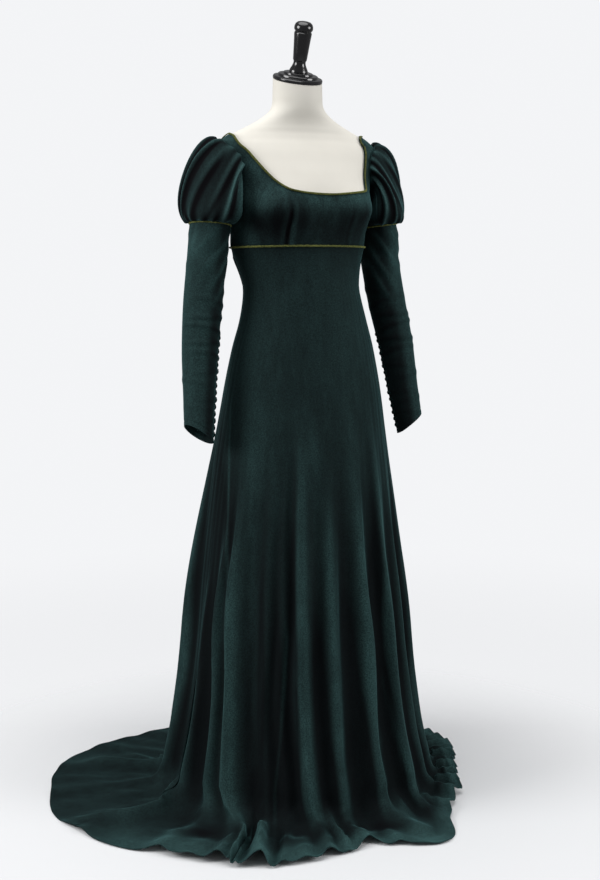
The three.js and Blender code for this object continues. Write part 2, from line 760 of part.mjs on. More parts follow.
// Moves from the neckline across the bodice by a distance, and stays on its surface.
function acrossNeckline(degrees, distance, out) {
  const edge = (a) => torsoSkin(a, necklineHeight(a));
  const height = necklineHeight(degrees);
  const line = edge(degrees + 0.4).sub(edge(degrees - 0.4)).normalize();
  const across = normalOf(torsoSkin, degrees, height).cross(line).normalize();
  if (across.z > 0) across.negate();
  const du = torsoSkin(degrees + 0.5, height).sub(torsoSkin(degrees - 0.5, height));
  const dv = torsoSkin(degrees, height + 0.5).sub(torsoSkin(degrees, height - 0.5));
  const [uu, uv, vv] = [du.dot(du), du.dot(dv), dv.dot(dv)];
  const [ua, va] = [du.dot(across) * distance, dv.dot(across) * distance];
  const det = uu * vv - uv * uv;
  const da = (ua * vv - va * uv) / det;
  const dh = (va * uu - ua * uv) / det;
  return torso(degrees + da, height + dh, out);
}

function trims() {
  const corners = ({ width, thick, above_edge, off = TRIM_OUT }) => [
    [-above_edge, TRIM_OUT],
    [-above_edge, TRIM_OUT + thick],
    [width, off + thick],
    [width, off],
  ];
  const neck = strip(bodiceRing(BODICE_COLUMNS), (k, degrees) =>
    acrossNeckline(degrees, ...corners(NECK_TRIM)[k]),
  );
  const half = WAIST_TRIM.width / 2;
  const waistCorners = corners({ ...WAIST_TRIM, width: half, above_edge: half });
  const waist = strip(bodiceRing(BODICE_COLUMNS), (k, degrees) => {
    const [below, out] = waistCorners[k];
    return torso(degrees, waistHeight(degrees) + 2.5 - below, out);
  });
  const bands = SIDES.map(({ word, sign }) => {
    const bandCorners = corners({ ...BAND_TRIM, above_edge: 0 });
    const band = strip(ring(16), (k, round) => {
      const [below, out] = bandCorners[k];
      const height = BAND_HEIGHT - 0.6 - below;
      return mirrored(armPoint(height, round, out), sign);
    });
    return piece(`band_trim_${word}`, "trim", band);
  });
  return [piece("neck_trim", "trim", neck), piece("waist_trim", "trim", waist), ...bands];
}

// Covered buttons down the inner side of each forearm.
function buttons({ word, sign }) {
  const { count, top, bottom, radius, height } = BUTTONS;
  return evenly(top, bottom, count).map((at, i) => {
    const frame = armFrame(at);
    const inward = frame.outward.clone().negate();
    const down = (SLEEVE_TOP - at) / (SLEEVE_TOP - CUFF.centre + CUFF.slope);
    const seat = sleeve(180, down, BUTTONS.off);
    const profile = [
      [0, 0],
      [radius, 0],
      [radius * 0.85, height * 0.65],
      [0, height],
    ].map(([x, y]) => new THREE.Vector2(x, y));
    const made = piece(
      `button_${word}_${String(i + 1).padStart(2, "0")}`,
      "velvet",
      new THREE.LatheGeometry(profile, 8),
    );
    made.position.copy(mirrored(seat, sign));
    made.quaternion.setFromUnitVectors(new THREE.Vector3(0, 1, 0), mirrored(inward, sign));
    return made;
  });
}

// ---- the dress form and its stand ------------------------------------------------------------

function formTorso() {
  const rounds = ring(28);
  const inset = (h) => {
    const t = smooth((h - FORM_EASE.from) / (FORM_EASE.to - FORM_EASE.from));
    return -(WALL + THREE.MathUtils.lerp(FORM_EASE.body, FORM_EASE.shoulders, t));
  };
  const hips = FORM_HIPS.map((row) => row.at);
  const upper = [1175, 1210, 1245, 1275, 1305, 1335, 1360, 1378, 1390, 1400, 1410];
  const neck = [1422, 1436, 1450, 1470, NECK_TOP];
  const rings = [
    ...hips.map((h) => rounds.map((a) => section(FORM_HIPS, a, h))),
    ...[...upper, ...neck].map((h) => rounds.map((a) => torso(a, h, inset(h)))),
  ];
  for (const p of rings.at(-1)) p.z = NECK_TOP + p.y * Math.tan(turn(NECK_TILT));
  // The highest ring lies in the leaning plane of the neck's top, so it closes flat.
  const points = rings.flat();
  const count = rounds.length;
  const quads = [];
  for (let i = 0; i < rings.length - 1; i++)
    for (let j = 0; j < count; j++) {
      const k = (j + 1) % count;
      quads.push([i * count + j, i * count + k, (i + 1) * count + k, (i + 1) * count + j]);
    }
  const bottom = points.push(new THREE.Vector3(0, -10, FORM_HIPS[0].at)) - 1;
  const last = rings.at(-1);
  const middle = last.reduce((sum, p) => sum.add(p), new THREE.Vector3());
  const top = points.push(middle.divideScalar(count)) - 1;
  for (let j = 0; j < count; j++) {
    const k = (j + 1) % count;
    const high = (rings.length - 1) * count;
    quads.push([bottom, k, j, bottom], [top, high + j, high + k, top]);
  }
  return { geometry: closedGeometry(points, quads), top: points[top] };
}

function turned(profile) {
  const points = profile.map(([radius, height]) => new THREE.Vector2(radius, height));
  return new THREE.LatheGeometry(points, 24).rotateX(Math.PI / 2);
}

function dressForm() {
  const { geometry, top } = formTorso();
  const cap = piece(
    "neck_cap",
    "ebonised",
    turned([
      [0, 0],
      [50, 0],
      [52, 3],
      [51, 7],
      [42, 9],
      [41, 12.5],
      [31, 14],
      [30, 17],
      [0, 17],
    ]),
  );
  const handle = piece(
    "neck_handle",
    "ebonised",
    turned([
      [0, 17 + GAP],
      [19.5, 17 + GAP],
      [18.5, 23],
      [13.5, 34],
      [12.5, 38],
      [14, 41],
      [17.5, 85],
      [18.2, 97],
      [16.6, 99],
      [19, 102],
      [19.4, 109],
      [16, 116],
      [8, 119.5],
      [0, 120],
    ]),
  );
  const head = new THREE.Group();
  head.position.copy(top);
  head.rotation.x = turn(NECK_TILT);
  head.translateZ(GAP);
  head.add(cap, handle);
  return [piece("form_torso", "linen", geometry), head];
}

function stand() {
  const { base_radius, base_height, pole_radius } = STAND;
  const base = piece(
    "stand_base",
    "painted",
    turned([
      [0, 0],
      [base_radius, 0],
      [base_radius, 5],
      [base_radius - 6, 8],
      [40, base_height],
      [0, base_height],
    ]),
  );
  const from = base_height + GAP;
  const length = FORM_HIPS[0].at - GAP - from;
  const pole = new THREE.CylinderGeometry(pole_radius, pole_radius, length, 20);
  pole.rotateX(Math.PI / 2).translate(0, 0, from + length / 2);
  return [base, piece("stand_pole", "painted", pole)];
}

const gown = new THREE.Group();
gown.add(
  ...bodice(),
  skirtPanel("skirt_front", -SIDE_SEAM, SIDE_SEAM),
  skirtPanel("skirt_back", SIDE_SEAM, 360 - SIDE_SEAM),
  ...SIDES.flatMap((side) => [puffPiece(side), sleevePiece(side), ...buttons(side)]),
  ...trims(),
  ...dressForm(),
  ...stand(),
);

export default gown;
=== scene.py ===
"""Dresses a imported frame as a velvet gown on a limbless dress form, in a plain studio."""

import contextlib
import math

import bpy
import numpy as np
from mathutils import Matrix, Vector


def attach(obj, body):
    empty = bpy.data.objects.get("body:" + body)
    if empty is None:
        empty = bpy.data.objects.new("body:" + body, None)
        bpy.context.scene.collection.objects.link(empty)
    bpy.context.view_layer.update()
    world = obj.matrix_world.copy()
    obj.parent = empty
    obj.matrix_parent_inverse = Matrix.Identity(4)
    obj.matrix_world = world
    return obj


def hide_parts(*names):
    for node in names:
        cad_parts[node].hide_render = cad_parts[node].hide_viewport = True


bl_info = {
    "name": "Velvet Gown on a Dress Form",
    "version": (1, 0, 0),
    "blender": (4, 5, 0),
    "location": "View3D > Sidebar > Gown",
    "description": "Makes a raised-waist velvet gown, its dress form and a studio round them",
    "category": "Add Mesh",
}

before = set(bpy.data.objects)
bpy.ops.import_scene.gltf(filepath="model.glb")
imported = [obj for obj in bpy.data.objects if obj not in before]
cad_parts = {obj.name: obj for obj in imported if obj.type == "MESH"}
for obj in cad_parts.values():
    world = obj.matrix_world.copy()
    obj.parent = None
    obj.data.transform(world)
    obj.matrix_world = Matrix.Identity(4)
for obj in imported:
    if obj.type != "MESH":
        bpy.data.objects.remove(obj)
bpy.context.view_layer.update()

MM = 0.001
SIDES = (("left", 1), ("right", -1))


# ---- sizes shared with the solids, in millimetres ----------------------------------------------


class Table:
    """Rows of named columns, read on a smooth curve along the first column."""

    def __init__(self, columns, *rows):
        self.columns = columns.split()
        self.rows = np.array(rows, float)

    def column(self, name):
        return self.rows[:, self.columns.index(name)]

    def read(self, name, at):
        x, y = self.rows[:, 0], self.column(name)
        slope = np.empty_like(y)
        slope[1:-1] = (y[2:] - y[:-2]) / (x[2:] - x[:-2])
        slope[0] = (y[1] - y[0]) / (x[1] - x[0])
        slope[-1] = (y[-1] - y[-2]) / (x[-1] - x[-2])
        i = np.clip(np.searchsorted(x, at, side="right") - 1, 0, len(x) - 2)
        span = x[i + 1] - x[i]
        t = np.clip((at - x[i]) / span, 0, 1)
        t2, t3 = t * t, t * t * t
        return (
            y[i] * (2 * t3 - 3 * t2 + 1)
            + slope[i] * span * (t3 - 2 * t2 + t)
            + y[i + 1] * (3 * t2 - 2 * t3)
            + slope[i + 1] * span * (t3 - t2)
        )


WALL = 2.0
GAP = 0.3
NECK_TOP, NECK_TILT, TILT_FROM = 1512.0, math.radians(17), 1450.0
WAIST_SIDE, WAIST_RISE = 1165.0, 4.0
SIDE_SEAM = 86.0  # degrees from the centre front to a skirt side seam
SHOULDER_SEAM = 95.0  # degrees to the bodice's side and shoulder seams
BUST = {"apart": 88, "height": 1247, "rise": 25, "width": 48, "above": 46, "below": 38}
ARMHOLE = {"y": 6, "height": 1327, "half_depth": 50, "half_height": 50}
BREAK_HEIGHT = 70.0
# How far the form lies inside the gown's cloth: under the body, and above the line where it fills.
FORM_EASE = {"body": 5.8, "shoulders": 1.15, "from": 1240, "to": 1282}

TORSO = Table(
    "at half_width front back",
    (1150, 143.0, 103, 93), (1170, 147.5, 105, 96), (1200, 148.0, 112, 97), (1245, 151.5, 121, 99),
    (1281, 156.0, 112, 101), (1320, 167.0, 95, 103), (1345, 175.0, 80, 103), (1365, 179.0, 68, 99),
    (1380, 175.0, 58, 93), (1390, 165.0, 51, 88), (1398, 153.0, 47, 83), (1405, 141.0, 44, 78),
    (1412, 127.0, 43, 74), (1420, 111.0, 42, 70), (1430, 92.0, 43, 66), (1440, 76.0, 46, 62),
    (1450, 64.0, 49, 59), (1462, 57.0, 51, 57), (1480, 55.5, 52, 56), (1512, 54.5, 52, 55),
)

FORM_HIPS = Table(
    "at half_width front back",
    (740, 150.0, 96, 116), (770, 157.0, 101, 122), (820, 156.0, 106, 125), (900, 143.0, 104, 116),
    (980, 128.0, 97, 98), (1040, 114.0, 90, 82), (1080, 109.0, 89, 76), (1120, 121.0, 92, 79),
    (1150, 136.0, 97, 86),
)

SKIRT = Table(
    "at half_width front back shift",
    (70, 262.0, 258, 266, 0), (150, 246.0, 232, 246, 0), (300, 227.0, 205, 222, 1),
    (500, 212.0, 180, 196, 3), (700, 195.0, 160, 169, 8), (850, 176.0, 140, 142, 11),
    (955, 156.0, 125, 118, 12), (1020, 138.0, 117, 100, 12), (1080, 126.5, 111, 87, 8),
    (1110, 130.5, 108, 87, 5), (1140, 138.5, 105, 90, 2), (1170, 147.5, 105, 96, 0),
    (1185, 148.0, 108, 97, 0),
)

HEM = Table(
    "at reach landed",
    (-180, 456, 0.24), (-162, 459, 0.22), (-147, 490, 0.20), (-130, 538, 0.20), (-118, 547, 0.20),
    (-105, 542, 0.22), (-94, 545, 0.26), (-84, 536, 0.30), (-72, 516, 0.36), (-60, 492, 0.42),
    (-46, 482, 0.44), (-34, 477, 0.42), (-20, 440, 0.42), (-8, 406, 0.42), (2, 406, 0.44),
    (13, 452, 0.44), (21, 440, 0.46), (29, 396, 0.50), (40, 372, 0.46), (52, 376, 0.42),
    (64, 370, 0.42), (78, 386, 0.40), (90, 412, 0.36), (104, 418, 0.34), (130, 434, 0.30),
    (158, 450, 0.26), (180, 456, 0.24),
)

FOLDS = Table(
    "angle left right depth foot hem start ruffle lean",
    (-172, 6, 6, 24, 12, 7, 1120, 0, 0), (-155, 6, 6, 27, 10, 7, 1120, 0, 0),
    (-140, 6, 5, 26, 9, 5, 1100, 0, 0), (-125, 5, 5, 24, 11, 3, 1000, 0, 0),
    (-110, 5, 6, 34, 32, 4, 860, 0, 0), (-84, 5, 4, 10, 24, 8, 520, 0, 3),
    (-68, 4, 4.5, 28, 30, 12, 690, 0, 11), (-60, 2.6, 9, 27, 34, 18, 760, 6, 16),
    (-38.5, 4, 3.5, 15, 15, 10, 820, 8, 3), (-30, 3.5, 3.5, 13, 13, 8, 800, 6, 2),
    (-21, 3, 6, 30, 34, 12, 900, 5, 5), (-4.5, 5, 4.5, 25, 26, 10, 840, 3, 0),
    (15.5, 6, 4, 29, 32, 8, 820, 0, -4), (32, 3, 7, 28, 34, 8, 880, 0, -3),
    (48, 5, 5, 22, 24, 20, 800, 8, 0), (61, 5, 5, 29, 28, 24, 780, 12, 0),
    (73, 5, 5, 27, 26, 24, 820, 12, 0), (84, 5, 5, 28, 27, 26, 840, 12, 0),
    (97, 5, 5, 28, 27, 24, 940, 12, 0), (111, 6, 6, 27, 24, 18, 1060, 6, 0),
    (127, 6, 6, 29, 20, 14, 1100, 0, 0), (143, 6, 6, 26, 15, 10, 1120, 0, 0),
    (158, 6, 6, 28, 13, 9, 1120, 0, 0), (173, 6, 6, 25, 12, 8, 1120, 0, 0),
)
FOOT = {"from": 420, "to": 90, "full_from": 350}
GATHERS = {"from": 104, "full_from": 116, "depth": 10, "grows_in": 24, "fades_in": 95}
TURN = {"out": 10, "height": 12}  # the curve from the hanging cloth to the cloth on the floor
DRAWN_IN = {"fold": 0.9, "ruffle": 0.6}  # how far each draws in the hem, as a share of its height

# Small folds where the cloth lies on the floor: the path of each (how far down the cloth, and
# its angle there), its half width in degrees, its height, the part of the way where it shows,
# and how far it draws the hem in. Each grows and fades over a short part of the way.
CRUMPLE_GROWS, CRUMPLE_FADES = 0.35, 0.3
CRUMPLES = (
    (((1.2, 2.2, 3.0), (-126, -126, -127)), 2.6, 15, 1.1, 2.9, 0),
    (((1.2, 2.0, 2.7), (-116, -128, -138)), 2.2, 9, 1.0, 2.6, 0),
    (((1.0, 2.0, 2.5, 3.0), (-92, -83, -84, -91)), 2.2, 17, 1.0, 2.95, 0),
    (((1.0, 2.0, 3.0), (-101, -100, -99)), 7.0, 3, 1.4, 2.6, 0),
    (((1.4, 3.0), (-74, -70)), 2.0, 9, 2.0, 3.2, 7),
    (((1.4, 3.0), (-66, -64)), 1.8, 7, 2.2, 3.2, 5),
    (((1.2, 2.2, 3.0), (-57, -54, -51)), 2.4, 20, 1.7, 3.2, 10),
    (((1.2, 3.0), (-48, -44)), 2.0, 13, 1.9, 3.2, 8),
    (((1.2, 3.0), (-41, -36)), 2.0, 24, 1.5, 3.2, 6),
    (((1.2, 3.0), (-29, -25)), 2.4, 7, 1.9, 3.2, 3),
    (((1.0, 3.0), (-14, -11)), 2.6, 15, 1.1, 2.9, 0),
    (((1.6, 3.0), (-2, -1)), 3.2, 12, 1.9, 3.2, 22),
    (((1.6, 3.0), (9, 8)), 2.6, 10, 2.1, 3.2, 8),
    (((1.0, 2.0, 3.0), (24, 20, 17)), 4.0, 16, 1.2, 2.7, 0),
    (((1.4, 3.0), (38, 39)), 1.8, 14, 1.6, 3.2, 10),
    (((1.4, 3.0), (54, 55)), 1.7, 18, 1.6, 3.2, 12),
    (((1.4, 3.0), (67, 67)), 1.7, 18, 1.6, 3.2, 12),
    (((1.4, 3.0), (79, 78)), 1.7, 18, 1.6, 3.2, 12),
    (((1.4, 3.0), (91, 91)), 1.7, 16, 1.6, 3.2, 12),
    (((1.4, 3.0), (104, 103)), 2.0, 14, 1.6, 3.2, 8),
)

# Painted highlights in streaks along the skirt's fold ridges, and one broad painted shade behind the first
# fold:
# the line's heights and angles from the top down, its half width in degrees, and how much paler it is
# (darker below 0). Each fades in and out over its ends.
STREAK_FADE_TOP, STREAK_FADE_END = 90, 60
PAINTED_LIGHT_STREAKS = (
    (((819, 727, 558, 430, 276, 129), (-56.5, -53.5, -49, -47, -45, -43)), 3.2, 0.45),
    (((797, 698, 537, 415, 250), (-40.5, -37.5, -33.5, -31.5, -31)), 3.2, 0.25),
    (((860, 772, 585, 327, 173), (-15.5, -13, -9.5, -6.5, -3.5)), 4.4, 0.8),
    (((856, 757, 474, 265, 151), (14.5, 13.5, 11.5, 14, 21.5)), 4.6, 0.8),
    (((445, 379, 177, 70), (-29, -28, -31.5, -34.5)), 1.0, 1.0),
    (((379, 221, 85), (-25.5, -21.5, -20)), 1.1, 0.8),
    (((349, 261, 166, 70), (29, 28, 29, 31.5)), 1.2, 1.1),
    (((906, 767, 598, 430, 268, 70), (-84, -75.5, -68.5, -61, -61, -59.5)), 1.0, 1.4),
    (((880, 767, 598, 430, 340), (-104, -92, -82, -74, -72)), 8.0, -0.75),
)

# How much painted light (above 0) or painted shade (below 0) each thing puts into the velvet's base
# colour.
BODICE_PAINTED_LIGHT = {"all": 0.35, "upward": 2.0, "pinch": 0.75}
PUFF_PAINTED_LIGHT = {"all": -0.35, "crest": 2.6, "flank": 0.32, "band": -0.3}
SLEEVE_PAINTED_LIGHT = {"all": 1.25, "upward": 0.9607, "inner": -1.75, "drag": 0.55}
SKIRT_PAINTED_LIGHT = {
    "valley": -0.8, "crest": 1.3, "flank": 0.55,
    "beside_fold": 0.5, "behind_fold": -0.4, "thigh": 0.35, "left": -0.35, "low": -0.5, "waist": -0.5,
    "floor": -0.65, "hem": 2.5, "crushed": 1.6, "train": -0.15, "train_crushed": 0.7,
}

NECKLINE = Table(
    "at height",
    (-180, 1321), (-156, 1324), (-141, 1333), (-130, 1352), (-120, 1370), (-110, 1389),
    (-98, 1398), (-84, 1398), (-68, 1393), (-59, 1384), (-53, 1374), (-47, 1362), (-42.5, 1343),
    (-38.5, 1324), (-33, 1304), (-27, 1290), (-21.5, 1283), (-9, 1278), (9, 1276), (20.5, 1278),
    (32.5, 1281.5), (41, 1285), (44.5, 1290), (46, 1304), (47, 1326), (48, 1350), (49.5, 1374),
    (52, 1389), (58, 1397), (68, 1401), (84, 1402), (98, 1401), (110, 1390), (120, 1370),
    (130, 1352), (141, 1333), (156, 1324), (180, 1321),
)

ARM = Table(
    "at x y across deep",
    (760, 246.0, -58, 28.5, 28.5), (800, 243.5, -48, 30.0, 30.0), (870, 236.5, -33, 33.0, 33.0),
    (956, 228.5, -17, 37.0, 37.0), (1050, 214.5, 1, 40.5, 40.0), (1140, 201.5, 11, 40.0, 46.0),
    (1180, 197.0, 11, 39.0, 55.0), (1217, 192.0, 13, 38.0, 60.0), (1240, 190.0, 13, 38.0, 61.0),
)
BAND_HEIGHT = 1217.0
SLEEVE_TOP = BAND_HEIGHT + 1.4
CUFF = {"centre": 789, "slope": 18}
CUFF_SLIT = {"half_angle": 3, "length": 13}
SLEEVE_STEP = 3.0  # degrees from one column of a sleeve to the next
STITCHED = {"above_hem": 10, "width": 1.6, "depth": 0.7}
OPENING = {"from": 1004, "full_from": 994, "middle": 180, "height": 1.0}
SLEEVE_GATHERS = {"count": 13, "height": 1.3, "fades_in": 26}

PUFF = {
    "seam_grow": 3,
    "shoulder_out": 0.9,
    "underarm_out": 2.2,
    "band_out": 3.2,
    "gathers": 12,
    "reach": 132,
    "seam_gather": 7,
    "band_gather": 5,
}
PUFF_SHAPE = Table(
    "at push fullness lift",
    (-180, 0.32, 2, 6), (-150, 0.34, 12, 10), (-120, 0.36, 40, 6), (-90, 0.38, 46, 0),
    (-45, 0.42, 42, -6), (0, 0.32, 44, -6), (45, 0.14, 46, -6), (75, 0.16, 54, -2),
    (100, 0.28, 68, 0), (118, 0.34, 66, 4), (134, 0.34, 30, 8), (150, 0.34, 8, 8),
    (180, 0.32, 2, 6),
)

# The puff's long folds: where each starts round the armhole, where it ends round the band,
# its half width in degrees and how proud it stands.
PUFF_FOLDS = (
    (128, 122, 3.4, 4.6), (104, 112, 3.4, 8), (86, 84, 4.1, 9.2), (62, 48, 6.1, 3.4),
    (40, 14, 6.1, 3.4), (22, -16, 3.4, 10.3), (0, -34, 4.1, 9.2), (-30, -56, 4.8, 6.9),
    (-62, -80, 5.4, 5.8), (-96, -108, 5.4, 5.8),
)

BUTTONS = {"count": 15, "top": 988, "bottom": 789, "radius": 4.3, "height": 3.8}
LOOP = {"radius": 4.4, "thick": 0.75, "ahead": 2.2}
TRIM_OUT = 0.9

# The pinch under each bust: where it starts and how it slants, in millimetres.
PINCH = {
    "apart": 68, "slant": 0.05, "from": 1200, "width": 4.2, "top": 1272, "full_from": 1232,
    "dip": -2.3, "outer": 2.1, "inner": 0.9, "strength": {-1: 1.0, 1: 0.15},
}

# Creases in the long sleeve: height, where round the arm each is deepest, how far it slopes,
# how long it is down the arm, and how proud it stands.
CREASES = Table(
    "at round slope length depth",
    (1180, 40, 14, 9, 1.4), (1150, 140, -12, 10, 1.5), (1118, 60, 10, 9, 1.3),
    (1082, 150, -8, 8, 1.6), (1052, 120, 7, 7, 2.2), (1024, 100, -6, 6.5, 2.7),
    (998, 90, 6, 6, 3.0), (972, 95, -5, 6, 2.8), (946, 110, 6, 6.5, 2.3), (918, 130, -8, 7, 1.7),
    (890, 40, 8, 7, 1.3), (862, 150, -7, 6, 1.1), (838, 70, 5, 6, 1.0), (816, 120, -5, 5, 0.8),
)

# Long folds dragged down the upper sleeve: where each starts (height, round the arm), where it
# ends, its half width in degrees and how proud it stands.
DRAGS = (
    ((1214, 150), (1120, 60), 9, 2.6),
    ((1190, 165), (1085, 85), 9, 2.6),
    ((1160, 172), (1050, 100), 9, 2.2),
    ((1216, 96), (1150, 20), 8, 2.0),
    ((1216, 40), (1130, -10), 9, 1.8),
)


# ---- surfaces ------------------------------------------------------------------------------------


def smooth(t):
    t = np.clip(t, 0, 1)
    return t * t * (3 - 2 * t)


def ramp(value, start, end):
    """0 to 1, eased, as the value goes from start to end."""
    return smooth((value - start) / (end - start))


def bell(t):
    return np.exp(-(t**2))


def mix(a, b, t):
    return a + (b - a) * t


def bent(t, start, middle, end):
    return (1 - t) ** 2 * start + 2 * t * (1 - t) * middle + t**2 * end


def wrap(degrees):
    return np.mod(np.asarray(degrees, float) + 180, 360) - 180


def cos(degrees):
    return np.cos(np.radians(degrees))


def sin(degrees):
    return np.sin(np.radians(degrees))


def points(x, y, z):
    return np.stack(np.broadcast_arrays(x, y, z), -1).astype(float)


def unit(v):
    return v / np.maximum(np.linalg.norm(v, axis=-1, keepdims=True), 1e-9)


def near_path(degrees, at, path, width):
    """1 on a path of angles, and less to each side of it."""
    return bell(wrap(degrees - np.interp(at, *path)) / width)


def normal_of(surface, u, v, du=0.4, dv=0.4):
    across = surface(u + du, v) - surface(u - du, v)
    along = surface(u, v + dv) - surface(u, v - dv)
    return unit(np.cross(across, along))


def section(rows, degrees, height):
    c = cos(degrees)
    depth = np.where(c > 0, rows.read("front", height), rows.read("back", height))
    return points(rows.read("half_width", height) * sin(degrees), -depth * c, height)


def torso_skin(degrees, height):
    p = section(TORSO, degrees, height)
    side = np.where(height > BUST["height"], BUST["above"], BUST["below"])
    up = bell((height - BUST["height"]) / side)
    across = sum(bell((p[..., 0] - x) / BUST["width"]) for x in (-BUST["apart"], BUST["apart"]))
    rise = BUST["rise"] * up * across * smooth(cos(degrees) * 2)
    lean = ramp(height, TILT_FROM, NECK_TOP)
    p[..., 0] += rise * sin(degrees)
    p[..., 2] += lean * p[..., 1] * math.tan(NECK_TILT)
    p[..., 1] -= rise * cos(degrees)
    return p


def torso(degrees, height, out=0.0):
    out = np.asarray(out, float)[..., None]
    return torso_skin(degrees, height) + out * normal_of(torso_skin, degrees, height)


def waist_height(degrees):
    return WAIST_SIDE + WAIST_RISE * ((1 + cos(degrees)) / 2) ** 2


def neckline_height(degrees):
    return NECKLINE.read("height", wrap(degrees))


def round_the_bodice(start, end, count):
    """Angles that share out the neckline's length and the waist's together."""
    fine = np.linspace(start, end, 2000)
    edges = [torso_skin(fine, height(fine)) for height in (neckline_height, waist_height)]
    steps = sum(np.linalg.norm(np.diff(edge, axis=0), axis=-1) for edge in edges)
    run = np.concatenate([[0], np.cumsum(steps)])
    return np.interp(np.linspace(0, run[-1], count), run, fine)


def fold_at(degrees):
    """Where each angle is between two crests: its gather, the hem's ruffle, and its lean."""
    angle = wrap(degrees)
    crests = FOLDS.column("angle")
    n = len(crests)
    after = np.searchsorted(crests, angle, side="right")
    before = (after - 1) % n
    low = np.where(after == 0, crests[-1] - 360, crests[before])
    high = np.where(after == n, crests[0] + 360, crests[after % n])
    t = (angle - low) / (high - low)
    ruffle, lean = (
        mix(FOLDS.column(name)[before], FOLDS.column(name)[after % n], smooth(t))
        for name in ("ruffle", "lean")
    )
    return 0.5 + 0.5 * np.cos(4 * np.pi * t), ruffle, lean


def crests_at(degrees, height, down):
    """How proud all the folds stand together, and how much of that is left at the hem."""
    stand, hem = 0.0 * height, 0.0 * height
    footed = ramp(height, FOOT["from"], FOOT["to"])
    for angle, left, right, depth, foot, at_hem, start, _, _ in FOLDS.rows:
        off = wrap(degrees - angle)
        ridge = bell(off / np.where(off < 0, left, right))
        hanging = mix(depth, foot, footed) * ramp(height, start, FOOT["full_from"])
        lying = mix(foot, at_hem, smooth((down - 1) / 1.6))
        stand = stand + ridge * np.where(down > 1, lying, hanging)
        hem = hem + ridge * at_hem
    return stand, hem


def skirt_skin(degrees, down):
    """down runs 0 to 1 down the hanging cloth, 1 to 2 round its turn and 2 to 3 to the hem."""
    gather, ruffle, lean = fold_at(degrees)
    angle = degrees + lean * ramp(down, 0.5, 2.2)
    top = waist_height(degrees)
    height = mix(top, BREAK_HEIGHT, np.minimum(down, 1))
    p = section(SKIRT, angle, height)
    start = np.hypot(p[..., 0], p[..., 1])
    p[..., 0] += SKIRT.read("shift", height)

    # Folds wander a little sideways as they fall, and gathers stand behind, under the waist seam.
    sway = 0.9 * np.sin(height / 95 + degrees / 23) + 0.6 * np.sin(height / 51 - degrees / 11)
    stand, hem = crests_at(degrees + ramp(height, 1000, 300) * sway, height, down)
    below = top - height
    behind = ramp(np.abs(wrap(degrees)), GATHERS["from"], GATHERS["full_from"])
    gathered = smooth(below / GATHERS["grows_in"]) * np.exp(-below / GATHERS["fades_in"])
    stand = stand + GATHERS["depth"] * behind * gathered * gather

    # The cloth turns outwards above the floor, lands, and lies flat to a hem that folds draw in.
    outward = points(sin(angle), -cos(angle), 0.0)
    bend, across = np.clip(down - 1, 0, 1), np.clip(down - 2, 0, 1)
    reach = HEM.read("reach", wrap(angle))
    landed = start + HEM.read("landed", wrap(angle)) * (reach - start)
    ruffled = ruffle * gather
    drawn = DRAWN_IN["fold"] * hem + DRAWN_IN["ruffle"] * ruffled
    radius = bent(bend, start, start + TURN["out"], landed)
    radius = radius + across * (reach - landed) - drawn * smooth(across)
    lying = down > 1
    stand = stand + np.where(lying, ruffled * ramp(down, 1.2, 2.4), 0.0)
    for path, width, proud, first, last, notch in CRUMPLES:
        near = near_path(degrees, down, path, width)
        along = smooth((down - first) / CRUMPLE_GROWS)
        along = along * smooth((last - down) / CRUMPLE_FADES + (last >= 3))
        stand = stand + proud * near * along
        radius = radius - notch * near * ramp(down, 2.2, 3)

    p[..., 2] = np.where(lying, bent(bend, BREAK_HEIGHT, TURN["height"], WALL), p[..., 2])
    p = p + outward * np.where(lying, radius - start, 0.0)[..., None]
    lift = np.maximum(0.12, smooth(down - 1))
    push = outward * np.sqrt(1 - lift * lift)[..., None]
    push[..., 2] = lift
    return p + push * stand[..., None]


def arm_frame(height):
    def centre(h):
        return points(ARM.read("x", h), ARM.read("y", h), h)

    height = np.asarray(height, float)
    along = unit(centre(height - 2) - centre(height + 2))
    forward = unit(points(0.0, -1.0, 0.0) + along * along[..., 1:2])
    outward = unit(np.cross(along, forward))
    outward = np.where(outward[..., :1] < 0, -outward, outward)
    return centre(height), along, outward, forward


def arm_point(height, round_, out=0.0):
    centre, _, outward, forward = arm_frame(height)
    across = ((ARM.read("across", height) + out) * cos(round_))[..., None]
    deep = ((ARM.read("deep", height) + out) * sin(round_))[..., None]
    return centre + outward * across + forward * deep


def dragged(round_, height):
    """The long folds that slant down from the puff's band."""
    stand = 0.0 * height
    for (high, start), (low, finish), width, proud in DRAGS:
        part = (high - height) / (high - low)
        near = bell(wrap(round_ - mix(start, finish, part)) / width)
        stand = stand + proud * near * smooth(part * 4) * smooth((1.15 - part) * 2.5)
    return stand


def sleeve_skin(round_, down):
    end = CUFF["centre"] + CUFF["slope"] * cos(round_)
    height = mix(SLEEVE_TOP, end, down)
    stand = dragged(round_, height)
    for at, where, slope, length, depth in CREASES.rows:
        near = bell((height - at - slope * cos(round_ - where + 60)) / length)
        stand = stand + depth * near * smooth(0.25 + cos(round_ - where))
    gathers = 0.5 + 0.5 * cos(SLEEVE_GATHERS["count"] * round_ + 20 * sin(2 * round_))
    fading = np.exp(-(SLEEVE_TOP - height) / SLEEVE_GATHERS["fades_in"])
    stand = stand + SLEEVE_GATHERS["height"] * gathers * fading
    # The hem's stitching draws the cloth in, and the opening's upper edge stands over its lower.
    stitched = bell((height - end - STITCHED["above_hem"]) / STITCHED["width"])
    off = wrap(round_ - OPENING["middle"])
    edge = ramp(off, -20, -17) * (1 - ramp(off, 14, 24))
    edge = edge * ramp(height, OPENING["from"], OPENING["full_from"])
    return arm_point(height, round_, stand - STITCHED["depth"] * stitched + OPENING["height"] * edge)


